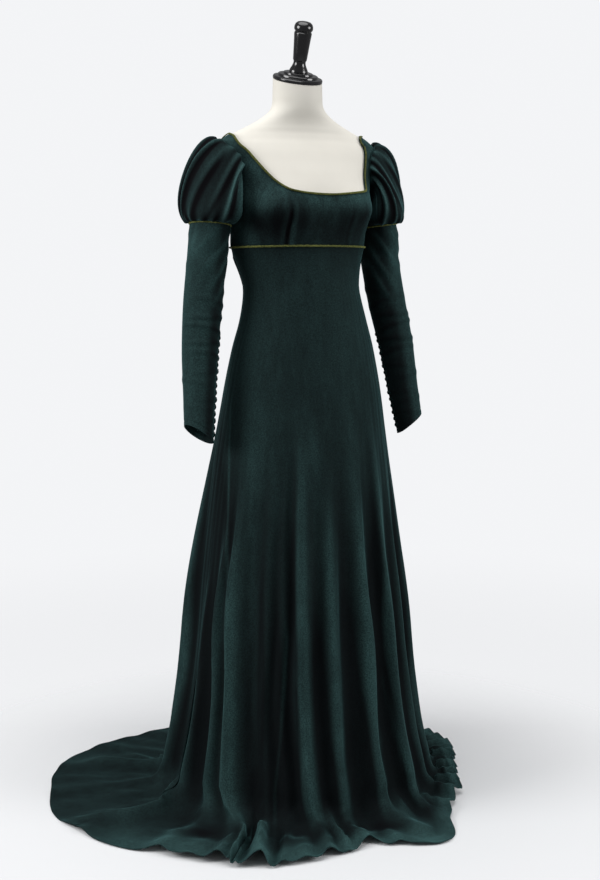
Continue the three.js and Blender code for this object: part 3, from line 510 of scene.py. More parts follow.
def armhole_seam(round_, out):
    at = ARMHOLE["height"] + (ARMHOLE["half_height"] + PUFF["seam_grow"]) * cos(round_)
    across = ARMHOLE["y"] - (ARMHOLE["half_depth"] + PUFF["seam_grow"]) * sin(round_)
    depth = np.where(across < 0, TORSO.read("front", at), TORSO.read("back", at))
    degrees = np.degrees(np.arccos(-across / depth))
    return torso(degrees, at, out), normal_of(torso_skin, degrees, at)


def puff_line(round_, down):
    outside = smooth((1 + cos(round_)) / 2)
    seam, away = armhole_seam(round_, mix(PUFF["underarm_out"], PUFF["shoulder_out"], outside))
    _, along, outward, forward = arm_frame(BAND_HEIGHT)
    radial = outward * cos(round_)[..., None] + forward * sin(round_)[..., None]
    end = arm_point(BAND_HEIGHT, round_, PUFF["band_out"])
    length = np.linalg.norm(end - seam, axis=-1)
    spread = points(0.0, -sin(round_), cos(round_))
    away = unit(away + 0.35 * spread)
    shape = {name: PUFF_SHAPE.read(name, wrap(round_)) for name in ("push", "fullness", "lift")}
    first = seam + away * (shape["push"] * length)[..., None]
    second = end + radial * shape["fullness"][..., None] - along * shape["lift"][..., None]
    t = np.clip(down, 0, 1)[..., None]
    return (
        (1 - t) ** 3 * seam
        + 3 * (1 - t) ** 2 * t * first
        + 3 * (1 - t) * t * t * second
        + t**3 * end
    )


def puff_stand(round_, down):
    angle = wrap(round_)
    reach = smooth((PUFF["reach"] - np.abs(angle)) / 20)
    uneven = 2.2 * sin(angle * 5.3 + 40) + 7 * (down - 0.3) * sin(3 * angle)
    turns = np.radians(angle + uneven) * PUFF["gathers"] * 180 / PUFF["reach"]
    wave = (0.5 + 0.5 * np.cos(turns)) ** 1.2
    seam = PUFF["seam_gather"] * smooth(down / 0.06) * np.exp(-down / 0.22)
    band = PUFF["band_gather"] * smooth((1 - down) / 0.07) * np.exp(-(1 - down) / 0.14)
    full = np.sin(np.pi * np.clip(down, 0, 1) ** 0.8) ** 1.2
    folds = 1.2 * np.sin(np.radians(angle * 2.1) + 5 * down)
    for top, bottom, width, proud in PUFF_FOLDS:
        line = mix(top, bottom, down**1.3) + 3 * np.sin(4 * down + top)
        folds = folds + proud * bell(wrap(angle - line) / width)
    return reach * ((0.45 + 0.55 * wave) * seam + wave * band + folds * full)


def puff(round_, down):
    kept = np.clip(down, 0.015, 0.985)
    normal = normal_of(puff_line, round_, kept, 1.0, 0.01)
    return puff_line(round_, down) + normal * puff_stand(round_, down)[..., None]


# ---- meshes --------------------------------------------------------------------------------------


def select_only(obj):
    bpy.ops.object.select_all(action="DESELECT")
    obj.select_set(True)
    bpy.context.view_layer.objects.active = obj


def add_object(name, data):
    obj = bpy.data.objects.new(name, data)
    bpy.context.scene.collection.objects.link(obj)
    return obj


@contextlib.contextmanager
def editing(obj):
    """Edit mode on one mesh, with all of it selected."""
    select_only(obj)
    bpy.ops.object.mode_set(mode="EDIT")
    bpy.ops.mesh.select_all(action="SELECT")
    yield
    bpy.ops.object.mode_set(mode="OBJECT")


def weld(distance):
    bpy.ops.mesh.remove_doubles(threshold=distance)
    bpy.ops.mesh.normals_make_consistent(inside=False)


def apply_modifier(obj, kind, **settings):
    select_only(obj)
    made = obj.modifiers.new(kind.title(), kind)
    for name, value in settings.items():
        setattr(made, name, value)
    bpy.ops.object.modifier_apply(modifier=made.name)


def grid_mesh(name, grid, closed=False, outward=None, keep=None, lit=None):
    """A sheet from a grid of points in millimetres, its faces on the side that outward names.

    lit is kept with each point: how much painted light (above 0) or painted shade its base colour takes
    there."""
    rows, columns = grid.shape[:2]
    steps = columns if closed else columns - 1
    i, j = np.meshgrid(np.arange(rows - 1), np.arange(steps), indexing="ij")
    k = (j + 1) % columns
    row, below = i * columns, (i + 1) * columns
    quads = np.stack([row + j, row + k, below + k, below + j], -1)
    if keep is not None:
        quads = quads[keep(grid, i, j)]
    quads = quads.reshape(-1, 4)
    flat = grid.reshape(-1, 3)
    corner = flat[quads]
    normals = np.cross(corner[:, 2] - corner[:, 0], corner[:, 3] - corner[:, 1])
    centre = corner.mean(1)
    facing = outward(centre) if outward else centre - flat.mean(0)
    if (normals * facing).sum() < 0:
        quads = quads[:, ::-1]
    used, index = np.unique(quads, return_inverse=True)
    mesh = bpy.data.meshes.new(name)
    mesh.from_pydata((flat[used] * MM).tolist(), [], index.reshape(-1, 4).tolist())
    mesh.update()
    if lit is not None:
        kept = np.broadcast_to(lit, grid.shape[:2]).reshape(-1)[used]
        mesh.attributes.new("lit", "FLOAT", "POINT").data.foreach_set("value", kept.astype(np.float32))
    return add_object(name, mesh)


def smooth_shading(obj, degrees):
    select_only(obj)
    bpy.ops.object.shade_smooth_by_angle(angle=math.radians(degrees))


def cloth(obj):
    """Gives a sheet its wall, inwards, and a smooth surface."""
    wall = bpy.context.scene.gown_detail.cloth
    apply_modifier(
        obj, "SOLIDIFY", thickness=wall, offset=-1.0, use_even_offset=False, use_rim=True
    )
    smooth_shading(obj, 50)


def finish_piece(obj, finish, *nodes):
    obj.data.materials.clear()
    obj.data.materials.append(material(finish))
    if nodes:
        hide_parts(*nodes)
    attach(obj, "root")
    return obj


def mirror_points(grid, sign):
    return grid * np.array([sign, 1.0, 1.0])


def from_axis(centre):
    return centre * np.array([1.0, 1.0, 0.0])


# ---- materials -----------------------------------------------------------------------------------


class Socket:
    """A shader value that adds Math nodes when it is used in an expression."""

    def __init__(self, shader, socket):
        self.shader, self.socket = shader, socket

    def _math(self, operation, *values):
        return self.shader.node("ShaderNodeMath", {"operation": operation}, *values)

    def __add__(self, other):
        return self._math("ADD", self, other)

    def __sub__(self, other):
        return self._math("SUBTRACT", self, other)

    def __mul__(self, other):
        return self._math("MULTIPLY", self, other)

    def __rsub__(self, other):
        return self._math("SUBTRACT", other, self)

    __radd__ = __add__
    __rmul__ = __mul__


class Shader:
    """A material's node tree, built by naming nodes and what feeds them."""

    def __init__(self, name):
        self.material = bpy.data.materials.new(name)
        self.material.use_nodes = True
        self.tree = self.material.node_tree
        self.tree.nodes.clear()

    def node(self, kind, settings=None, *values, out=0, **named):
        made = self.tree.nodes.new(kind)
        for key, value in (settings or {}).items():
            if key == "ramp":
                ramp = made.color_ramp
                while len(ramp.elements) > 1:
                    ramp.elements.remove(ramp.elements[-1])
                ramp.elements[0].position, ramp.elements[0].color = value[0]
                for position, colour in value[1:]:
                    ramp.elements.new(position).color = colour
            else:
                setattr(made, key, value)
        for index, value in enumerate(values):
            self.feed(made.inputs[index], value)
        for key, value in named.items():
            self.feed(made.inputs[key.replace("_", " ")], value)
        return Socket(self, made.outputs[out]) if len(made.outputs) else None

    def feed(self, target, value):
        if isinstance(value, Socket):
            self.tree.links.new(value.socket, target)
        elif value is not None:
            target.default_value = value

    def surface(self, **values):
        constants = {k: v for k, v in values.items() if not isinstance(v, Socket)}
        links = {k: v for k, v in values.items() if isinstance(v, Socket)}
        bsdf = self.node("ShaderNodeBsdfPrincipled", None, **constants, **links)
        self.node("ShaderNodeOutputMaterial", None, bsdf)
        return self.material

    def noise(self, vector, scale, detail=2.0, roughness=0.5):
        return self.node(
            "ShaderNodeTexNoise", None, Vector=vector, Scale=scale, Detail=detail, Roughness=roughness
        )

    def between(self, factor, low, high):
        """factor moved from low..high to 0..1."""
        return self.node(
            "ShaderNodeMapRange", {"interpolation_type": "SMOOTHSTEP"}, factor, low, high, 0.0, 1.0
        )

    def colours(self, factor, a, b):
        made = self.tree.nodes.new("ShaderNodeMix")
        made.data_type = "RGBA"
        self.feed(made.inputs[0], factor)
        self.feed(made.inputs[6], a)
        self.feed(made.inputs[7], b)
        return Socket(self, made.outputs[2])

    def place(self, scale=(1.0, 1.0, 1.0)):
        where = self.node("ShaderNodeTexCoord", None, out=3)
        return self.node("ShaderNodeMapping", None, Vector=where, Scale=scale)

    def bump(self, height, strength, distance):
        return self.node(
            "ShaderNodeBump", None, Height=height, Strength=strength, Distance=distance
        )


def rgba(colour, gain=1.0):
    return (*(c * gain for c in colour[:3]), 1.0)


def velvet(name, colour, sheen, sheen_tint, sheen_roughness, nap):
    """Pile velvet: dark face on, pale where it turns away, and brushed in soft patches. Its base colour
    also takes the painted light and shade kept in each piece's lit attribute.
    """
    s = Shader(name)
    flat = s.place()
    long = s.place((1.0, 1.0, 0.3))
    brushed = s.noise(long, 11.0, 3.0, 0.55)
    crushed = s.noise(long, 55.0, 4.0, 0.62)
    pile = s.noise(flat, 420.0, 2.0, 0.8)
    # lit is painted light (above 0) and painted shade (below 0), which scales the base colour together
    # with the pile's random patches and grain.
    lit = s.node("ShaderNodeAttribute", {"attribute_name": "lit"}, out=2)
    patch = s.between(brushed * 0.6 + crushed * 0.4, 0.36, 0.64)
    tone = (1.0 + lit) * (1.0 - nap + 2 * nap * patch) * (0.55 + 0.9 * s.between(pile, 0.3, 0.7))
    relief = brushed * 0.5 + crushed * 0.12 + pile * 0.12
    return s.surface(
        # The base colour runs from this near-black purple, reached only under the deepest painted shade,
        # up to five times the velvet colour.
        Base_Color=s.colours(tone * 0.2, rgba((0.0022, 0.0019, 0.0028)), rgba(colour, 5.0)),
        Roughness=0.85,
        Specular_IOR_Level=0.06,
        Sheen_Weight=sheen,
        Sheen_Roughness=sheen_roughness,
        Sheen_Tint=rgba(sheen_tint),
        Normal=s.bump(relief, 1.0, 0.0042),
    )


def jersey(name, colour):
    """Fine knitted cotton, pulled smooth over the form."""
    s = Shader(name)
    at = s.place()
    knit = s.node(
        "ShaderNodeTexWave", {"bands_direction": "Z"}, Vector=at, Scale=330.0, Distortion=1.5
    )
    cloud = s.noise(at, 7.0, 3.0)
    base = s.colours(s.between(cloud, 0.3, 0.7), rgba(colour, 0.96), rgba(colour, 1.02))
    return s.surface(
        Base_Color=base,
        Roughness=0.85,
        Sheen_Weight=0.15,
        Normal=s.bump(knit * 0.5 + s.noise(at, 500.0) * 0.5, 0.12, 0.0004),
    )


def lacquer(name, colour):
    """Turned wood under black gloss, with a trace of the lathe in it."""
    s = Shader(name)
    at = s.place((1.0, 1.0, 6.0))
    rings = s.noise(at, 60.0, 3.0)
    return s.surface(
        Base_Color=s.colours(rings, rgba(colour, 0.7), rgba(colour, 1.6)),
        Roughness=0.12 + rings * 0.14,
        Coat_Weight=0.7,
        Coat_Roughness=0.06,
        Normal=s.bump(rings, 0.08, 0.0005),
    )


def black_paint(name, colour):
    """Satin paint on steel, with a fine texture."""
    s = Shader(name)
    at = s.place()
    fine = s.noise(at, 900.0, 2.0)
    worn = s.noise(at, 30.0, 4.0)
    return s.surface(
        Base_Color=s.colours(s.between(worn, 0.4, 0.7), rgba(colour), rgba(colour, 1.8)),
        Roughness=0.38 + fine * 0.2,
        Normal=s.bump(fine, 0.2, 0.0003),
    )


def floor_paint(name, colour):
    """Pale matt floor that fades into the studio's white far from the gown."""
    s = Shader(name)
    at = s.place()
    cloud = s.noise(at, 0.8, 2.0)
    away = s.node("ShaderNodeVectorMath", {"operation": "LENGTH"}, at, out=1)
    return s.surface(
        Base_Color=s.colours(cloud, rgba(colour, 0.985), rgba(colour, 1.0)),
        Roughness=0.75,
        Specular_IOR_Level=0.15,
        Alpha=1.0 - 0.8 * s.between(away, 0.42, 1.0) - 0.2 * s.between(away, 0.9, 2.6),
        Normal=s.bump(s.noise(at, 900.0), 0.03, 0.0003),
    )


# ---- settings ------------------------------------------------------------------------------------


def colour_setting(name, description, default):
    return bpy.props.FloatVectorProperty(
        name=name, description=description, default=default, subtype="COLOR", size=3, min=0, max=1
    )


def length_setting(name, description, default, subtype="DISTANCE", unit="LENGTH"):
    return bpy.props.FloatProperty(
        name=name, description=description, default=default, subtype=subtype, unit=unit, min=0
    )


def angle_setting(name, description, degrees):
    return bpy.props.FloatProperty(
        name=name, description=description, default=math.radians(degrees), subtype="ANGLE",
        unit="ROTATION",
    )


class GownColours(bpy.types.PropertyGroup):
    """The gown's and the dress form's colours."""

    velvet: colour_setting("Velvet", "Colour deep in the pile", (0.0075, 0.0172, 0.0170))
    velvet_sheen: colour_setting("Sheen", "Colour where the pile turns away", (0.36, 0.88, 0.90))
    trim: colour_setting("Trim", "Colour of the binding and piping", (0.115, 0.125, 0.034))
    form: colour_setting("Form", "Colour of the dress form's jersey", (0.82, 0.79, 0.715))
    wood: colour_setting("Lacquer", "Colour of the turned cap and handle", (0.004, 0.004, 0.005))
    metal: colour_setting("Paint", "Colour of the pole and base", (0.012, 0.012, 0.013))


class GownDetail(bpy.types.PropertyGroup):
    """How finely the cloth is built, and how thick it is."""

    skirt_columns: bpy.props.IntProperty(
        name="Skirt columns", description="Columns in each half of the skirt", default=230, min=40
    )
    skirt_rows: bpy.props.IntProperty(
        name="Skirt rows", description="Rows down the hanging part of the skirt", default=78, min=20
    )
    cloth: length_setting("Cloth", "Thickness of the velvet with its pile", WALL * MM)


class StudioSettings(bpy.types.PropertyGroup):
    """Where the camera stands, and how bright the studio is."""

    height: length_setting("Height", "Camera height", 1.148)
    distance: length_setting("Distance", "Camera to the stand", 3.005)
    aside: length_setting("Aside", "How far right the camera stands", 0.005)
    azimuth: angle_setting("Azimuth", "Angle round from the gown's front", 24.5)
    tilt: angle_setting("Tilt", "How far down the camera looks", 7.38)
    lens: length_setting("Lens", "Focal length", 57.7, "DISTANCE_CAMERA", "CAMERA")
    air: bpy.props.FloatProperty(
        name="Air", description="Share of the white room that lights the gown", default=0.22
    )
    key: bpy.props.FloatProperty(
        name="Key", description="Power that the soft lights share, in watts", default=38.0
    )


# Each velvet: the setting its colour comes from and how much of it, then its sheen's weight, tint
# (None for the sheen setting) and roughness, and how strongly the pile is brushed in patches.
VELVETS = {
    "gown_velvet": ("velvet", 1.0, 0.22, None, 0.32, 0.22),
    "bodice_velvet": ("velvet", 1.0, 0.22, None, 0.32, 0.5),
    "train_velvet": ("velvet", 1.0, 0.18, None, 0.32, 0.3),
    "trim_velvet": ("trim", 1.0, 0.5, (0.75, 0.85, 0.32), 0.4, 0.25),
    "neck_binding": ("trim", 0.7, 0.5, (0.75, 0.85, 0.36), 0.35, 0.3),
}
FINISHES = {
    "form_cloth": (jersey, "form"),
    "turned_wood": (lacquer, "wood"),
    "stand_metal": (black_paint, "metal"),
}
_made = {}


def material(name):
    """Each finish is made once and shared by its pieces."""
    if name not in _made:
        colours = bpy.context.scene.gown_colours
        if name in VELVETS:
            setting, gain, weight, tint, roughness, nap = VELVETS[name]
            colour = [gain * c for c in getattr(colours, setting)]
            _made[name] = velvet(name, colour, weight, tint or colours.velvet_sheen, roughness, nap)
        else:
            maker, setting = FINISHES[name]
            _made[name] = maker(name, getattr(colours, setting))
    return _made[name]


# ---- operators -----------------------------------------------------------------------------------


class GOWN_OT_bodice(bpy.types.Operator):
    """Makes the bodice's front and back, open at the neck and the armholes"""

    bl_idname = "gown.bodice"
    bl_label = "Bodice"

    def execute(self, context):
        self.panel("bodice_front", -SHOULDER_SEAM, SHOULDER_SEAM, (0.47, 0.26), 0.069)
        self.panel("bodice_back", SHOULDER_SEAM, 360 - SHOULDER_SEAM, (0.42, 0.26), 0.063)
        return {"FINISHED"}

    def panel(self, name, start, end, flat, area):
        inset = 0.06
        u = round_the_bodice(start + inset, end - inset, 260)
        degrees, part = np.meshgrid(u, np.linspace(0, 1, 90) ** 0.9)
        low = waist_height(degrees) + GAP / 2
        height = mix(low, neckline_height(degrees), part)
        out = self.relief(degrees, height, low)
        grid = torso(degrees, height, out)
        # Painted light on cloth that faces up, painted shade in each pinch's dip, and painted highlights
        # on its ridges.
        upward = normal_of(torso_skin, degrees, height)[..., 2]
        lit = BODICE_PAINTED_LIGHT["all"] + BODICE_PAINTED_LIGHT["upward"] * upward
        lit = lit + BODICE_PAINTED_LIGHT["pinch"] * np.clip(out, -0.8, 2.2)
        obj = grid_mesh(f"velvet_{name}", grid, outward=from_axis, keep=self.outside_armhole, lit=lit)
        cloth(obj)
        finish_piece(obj, "bodice_velvet", name)

    def relief(self, degrees, height, low):
        """A pinch that rises from the waist seam under each bust, and soft drag lines."""
        x = torso_skin(degrees, height)[..., 0]
        front = smooth(cos(degrees) * 3) * ramp(height, PINCH["top"], PINCH["full_from"])
        front = front * smooth((height - low) / 8 + 0.5)
        out = 0.0 * x
        for side, strength in PINCH["strength"].items():
            middle = side * (PINCH["apart"] + PINCH["slant"] * (height - PINCH["from"]))
            off = (x - middle) / PINCH["width"]
            pinch = PINCH["dip"] * bell(off) + PINCH["outer"] * np.exp(-((off - 2.2) ** 2) / 1.8)
            pinch = pinch + PINCH["inner"] * np.exp(-((off + 2.1) ** 2) / 1.4)
            out = out + strength * front * pinch
        drag = np.sin(degrees / 4.3 + height / 21) * np.sin(height / 33 - degrees / 9)
        return out + 0.35 * drag * smooth((height - low) / 12)

    def outside_armhole(self, grid, i, j):
        centre = grid[:-1, :-1]
        y = (centre[..., 1] - ARMHOLE["y"]) / ARMHOLE["half_depth"]
        z = (centre[..., 2] - ARMHOLE["height"]) / ARMHOLE["half_height"]
        return ~((y * y + z * z < 1) & (np.abs(centre[..., 0]) > 100))


class GOWN_OT_skirt(bpy.types.Operator):
    """Makes the skirt's front and its trained back"""

    bl_idname = "gown.skirt"
    bl_label = "Skirt"

    def execute(self, context):
        detail = context.scene.gown_detail
        front = self.panel(detail, "skirt_front", -SIDE_SEAM, SIDE_SEAM, "gown_velvet")
        back = self.panel(detail, "skirt_back", SIDE_SEAM, 360 - SIDE_SEAM, "train_velvet")
        return {"FINISHED"}

    def panel(self, detail, name, start, end, finish):
        u = np.linspace(start + 0.03, end - 0.03, detail.skirt_columns)
        hanging = np.linspace(0, 1, detail.skirt_rows) ** 1.1
        v = np.concatenate([hanging, np.linspace(1, 2, 16)[1:], np.linspace(2, 3, 24)[1:]])
        degrees, down = np.meshgrid(u, v)
        grid = skirt_skin(degrees, down)
        grid[0, :, 2] -= GAP / 2
        normal = self.normals(grid)
        grid = grid + normal * self.relief(degrees, down)[..., None]
        grid[..., 2] = np.maximum(grid[..., 2], np.where(down > 1.9, WALL + 0.2, 0))
        obj = grid_mesh(f"velvet_{name}", grid, outward=from_axis, lit=self.lit(degrees, down))
        cloth(obj)
        self.keep_off_floor(obj.data)
        return finish_piece(obj, finish, name)

    def lit(self, degrees, down):
        """Painted light and shade: crests and their flanks are painted pale, valleys dark, and the hem in
        front palest.
        """
        angle = wrap(degrees)
        top = waist_height(degrees)
        hanging = self.hanging_tone(angle, mix(top, BREAK_HEIGHT, np.minimum(down, 1)), top)
        front = ramp(angle, -86, -72) * ramp(angle, 118, 98)
        lying = self.lying_tone(angle, down, front)
        landing = smooth((down - 1) / (0.4 + 0.8 * front))
        return mix(np.maximum(hanging, SKIRT_PAINTED_LIGHT["valley"]), lying, landing)

    def hanging_tone(self, angle, height, top):
        tone = SKIRT_PAINTED_LIGHT
        stand, before, after = (crests_at(angle + aside, height, 1)[0] for aside in (0, -2, 2))
        full = 3 + 25 * ramp(height, 860, 340)
        crest = ramp(stand / full, 0.2, 1)
        folded = ramp(height, 900, 480) * (1 - 0.4 * ramp(np.abs(angle), 95, 125))
        # Painted shade in the valleys, and painted highlights on the crests and on one flank of each fold.
        lit = tone["valley"] + tone["crest"] * (crest + crest**4)
        lit = folded * (lit + tone["flank"] * np.clip((before - after) / full, -1, 1))
        # Painted light in front of the first fold at the wearer's right, and painted shade behind it and
        # on the wearer's left.
        lower = ramp(height, 980, 730)
        lit = lit + lower * tone["beside_fold"] * bell((angle + 50) / 9)
        behind = ramp(angle, -61, -66) * ramp(angle, -125, -110)
        lit = lit + lower * (tone["behind_fold"] * behind + tone["left"] * ramp(angle, 52, 62))
        # Painted highlight streaks down the fold ridges, and a broad painted shade behind the first fold.
        for (heights, angles), width, paler in PAINTED_LIGHT_STREAKS:
            ends = ramp(height, heights[0], heights[0] - STREAK_FADE_TOP)
            ends = ends * ramp(height, heights[-1] - STREAK_FADE_END, heights[-1])
            near = near_path(angle, height, (heights[::-1], angles[::-1]), width)
            lit = lit + paler * ends * near
        # Painted light higher up the skirt, and painted shade low down in front of the first fold and just
        # under the waist seam.
        lit = lit + tone["thigh"] * ramp(height, 420, 770)
        lit = lit + tone["low"] * ramp(height, 520, 220) * ramp(angle, -62, -59)
        return lit + tone["waist"] * np.exp(-(top - height) / 30)

    def lying_tone(self, angle, down, front):
        tone = SKIRT_PAINTED_LIGHT
        crush = 0.0 * angle
        # Painted highlights on the crumples' ridges and painted shade round them. On the floor the cloth
        # is painted dark at its turn and palest towards the hem in front, and the train is painted darker.
        for path, width, proud, first, _, _ in CRUMPLES:
            near = near_path(angle, down, path, width)
            crush = crush + near * proud / 14 * smooth((down - first) / CRUMPLE_GROWS)
            crush = crush - 0.25 * near**0.4 * ramp(down, 1.6, 2.1)
        hem = tone["floor"] + tone["hem"] * ramp(down, 2.15, 2.9) + tone["crushed"] * crush
        return mix(tone["train"] + tone["train_crushed"] * crush, hem, front)

    def keep_off_floor(self, mesh, gap=0.0002):
        """Lifts what the wall's thickness pushed through the floor."""
        places = np.empty(len(mesh.vertices) * 3)
        mesh.vertices.foreach_get("co", places)
        places[2::3] = np.maximum(places[2::3], gap)
        mesh.vertices.foreach_set("co", places)
        mesh.update()

    def normals(self, grid):
        across = np.gradient(grid, axis=1)
        along = np.gradient(grid, axis=0)
        normal = unit(np.cross(across, along))
        facing = (normal[..., :2] * grid[..., :2]).sum(-1).mean()
        return normal * (1 if facing > 0 else -1)

    def relief(self, degrees, down):
        """Small creases where the cloth is crushed on the floor, and its stitched hem."""
        crush = smooth((down - 1.0) / 0.5)
        waves = np.sin(degrees * 0.55 + 4.1 * down) * np.sin(degrees * 0.23 - 6.3 * down)
        hem = -0.6 * np.exp(-(((3 - down) - 0.09) / 0.02) ** 2)
        soft = 0.5 * np.sin(degrees * 0.9 + 9 * down) * np.sin(7 * down + degrees * 0.31)
        return 2.2 * crush * waves + hem * crush + soft * smooth(down * 4)


class GOWN_OT_puffs(bpy.types.Operator):
    """Makes the two gathered upper sleeves"""

    bl_idname = "gown.puffs"
    bl_label = "Puffs"

    def execute(self, context):
        round_, down = np.meshgrid(np.arange(0, 360, 1.25), np.linspace(0, 1, 72))
        grid = puff(round_, down)
        stand = puff_stand(round_, down)
        flank = puff_stand(round_ + 4, down) - puff_stand(round_ - 4, down)
        # Painted highlights on the folds' crests and on one flank, and painted shade towards the band.
        lit = PUFF_PAINTED_LIGHT["all"] + PUFF_PAINTED_LIGHT["crest"] * ramp(stand, 1, 10)
        lit = lit + PUFF_PAINTED_LIGHT["flank"] * np.clip(flank, -6, 6) + PUFF_PAINTED_LIGHT["band"] * ramp(down, 0.75, 0.95)
        for word, sign in SIDES:
            obj = grid_mesh(
                f"velvet_puff_{word}", mirror_points(grid, sign), closed=True,
                outward=self.from_arm(sign), lit=lit,
            )
            cloth(obj)
            finish_piece(obj, "gown_velvet", f"puff_{word}")
        return {"FINISHED"}

    def from_arm(self, sign):
        middle = np.array([sign * 190.0, 15.0, 1290.0])
        return lambda centre: centre - middle


class GOWN_OT_sleeves(bpy.types.Operator):
    """Makes the two long sleeves, slit at the wrist"""

    bl_idname = "gown.sleeves"
    bl_label = "Sleeves"

    def execute(self, context):
        turns = np.arange(0, 360, SLEEVE_STEP)
        down = np.concatenate([np.linspace(0, 0.93, 170), np.linspace(0.93, 1, 32)[1:]])
        round_, part = np.meshgrid(turns, down)
        grid = sleeve_skin(round_, part)
        above = sleeve_skin(round_, np.maximum(part - 0.02, 0)) - sleeve_skin(round_, part)
        around = sleeve_skin(round_ + SLEEVE_STEP, part) - sleeve_skin(round_ - SLEEVE_STEP, part)
        facing = unit(np.cross(around, above))
        # Painted light on cloth that faces up and on the dragged folds, and painted shade on the inner
        # side of the arm.
        inner = ramp(round_, 78, 112) * ramp(round_, 260, 220)
        lit = SLEEVE_PAINTED_LIGHT["all"] + SLEEVE_PAINTED_LIGHT["upward"] * facing[..., 2]
        lit = lit + SLEEVE_PAINTED_LIGHT["inner"] * inner + SLEEVE_PAINTED_LIGHT["drag"] * dragged(round_, grid[..., 2])
        for word, sign in SIDES:
            obj = grid_mesh(
                f"velvet_sleeve_{word}", mirror_points(grid, sign), closed=True,
                outward=self.from_arm(sign), keep=self.outside_slit, lit=lit,
            )
            cloth(obj)
            finish_piece(obj, "gown_velvet", f"sleeve_{word}")
        return {"FINISHED"}

    def from_arm(self, sign):
        def facing(centre):
            middle = points(sign * ARM.read("x", centre[:, 2]), ARM.read("y", centre[:, 2]), centre[:, 2])
            return centre - middle

        return facing

    def outside_slit(self, grid, i, j):
        above = grid[i, j, 2] - (CUFF["centre"] - CUFF["slope"])
        off = np.abs((j + 0.5) * SLEEVE_STEP - OPENING["middle"])
        return ~((off < CUFF_SLIT["half_angle"]) & (above < CUFF_SLIT["length"]))


def ribbon(name, edge, profile, degrees):
    """A closed band: profile gives its section as (across, out) pairs, placed by edge(...)."""
    grid = np.stack([edge(degrees, across, out) for across, out in profile])
    obj = grid_mesh(name, np.concatenate([grid, grid[:1]]), closed=True)
    with editing(obj):
        weld(0.00002)
    bpy.ops.object.shade_smooth()
    return obj


def piping(width, thick, above, steps=10):
    """A rounded section for a folded velvet binding."""
    middle, half = (width - above) / 2, (width + above) / 2
    turn = np.linspace(0, 2 * np.pi, steps, endpoint=False)
    return [
        (middle + half * np.cos(t), TRIM_OUT + thick * (0.45 + 0.55 * np.sin(t))) for t in turn
    ]


def across_neckline(degrees, distance, out):
    """Moves from the neckline down the bodice by a distance, and stays on its surface."""

    def edge(a):
        return torso_skin(a, neckline_height(a))

    height = neckline_height(degrees)
    line = unit(edge(degrees + 0.4) - edge(degrees - 0.4))
    across = unit(np.cross(normal_of(torso_skin, degrees, height), line))
    across = np.where(across[..., 2:] > 0, -across, across)
    du = torso_skin(degrees + 0.5, height) - torso_skin(degrees - 0.5, height)
    dv = torso_skin(degrees, height + 0.5) - torso_skin(degrees, height - 0.5)
    uu, uv, vv = (du * du).sum(-1), (du * dv).sum(-1), (dv * dv).sum(-1)
    ua, va = (du * across).sum(-1) * distance, (dv * across).sum(-1) * distance
    det = uu * vv - uv * uv
    return torso(degrees + (ua * vv - va * uv) / det, height + (va * uu - ua * uv) / det, out)


class GOWN_OT_trims(bpy.types.Operator):
    """Makes the olive binding at the neck and the piping at the waist and under the puffs"""

    bl_idname = "gown.trims"
    bl_label = "Trims"

    def execute(self, context):
        turns = round_the_bodice(0, 360, 520)[:-1]
        obj = ribbon("neck_binding", across_neckline, piping(3.8, 2.2, 0.7, 12), turns)
        finish_piece(obj, "neck_binding", "neck_trim")

        def waist(degrees, across, out):
            ripple = 0.5 * sin(degrees * 61) + 0.4 * sin(degrees * 97 + 30)
            height = waist_height(degrees) + 2.6 - across + 0.4 * ripple
            return torso(degrees, height, out + 0.25 * ripple)

        obj = ribbon("waist_piping", waist, piping(1.9, 2.4, 1.9), round_the_bodice(0, 360, 420)[:-1])
        finish_piece(obj, "trim_velvet", "waist_trim")
        for word, sign in SIDES:

            def band(round_, across, out, sign=sign):
                ripple = 0.3 * sin(round_ * 29)
                height = BAND_HEIGHT - 0.6 - across + 0.2 * ripple
                return mirror_points(arm_point(height, round_, out + ripple), sign)

            obj = ribbon(f"band_piping_{word}", band, piping(3.6, 2.4, 0.0), np.arange(0, 360, 2.25))
            finish_piece(obj, "trim_velvet", f"band_trim_{word}")
        return {"FINISHED"}


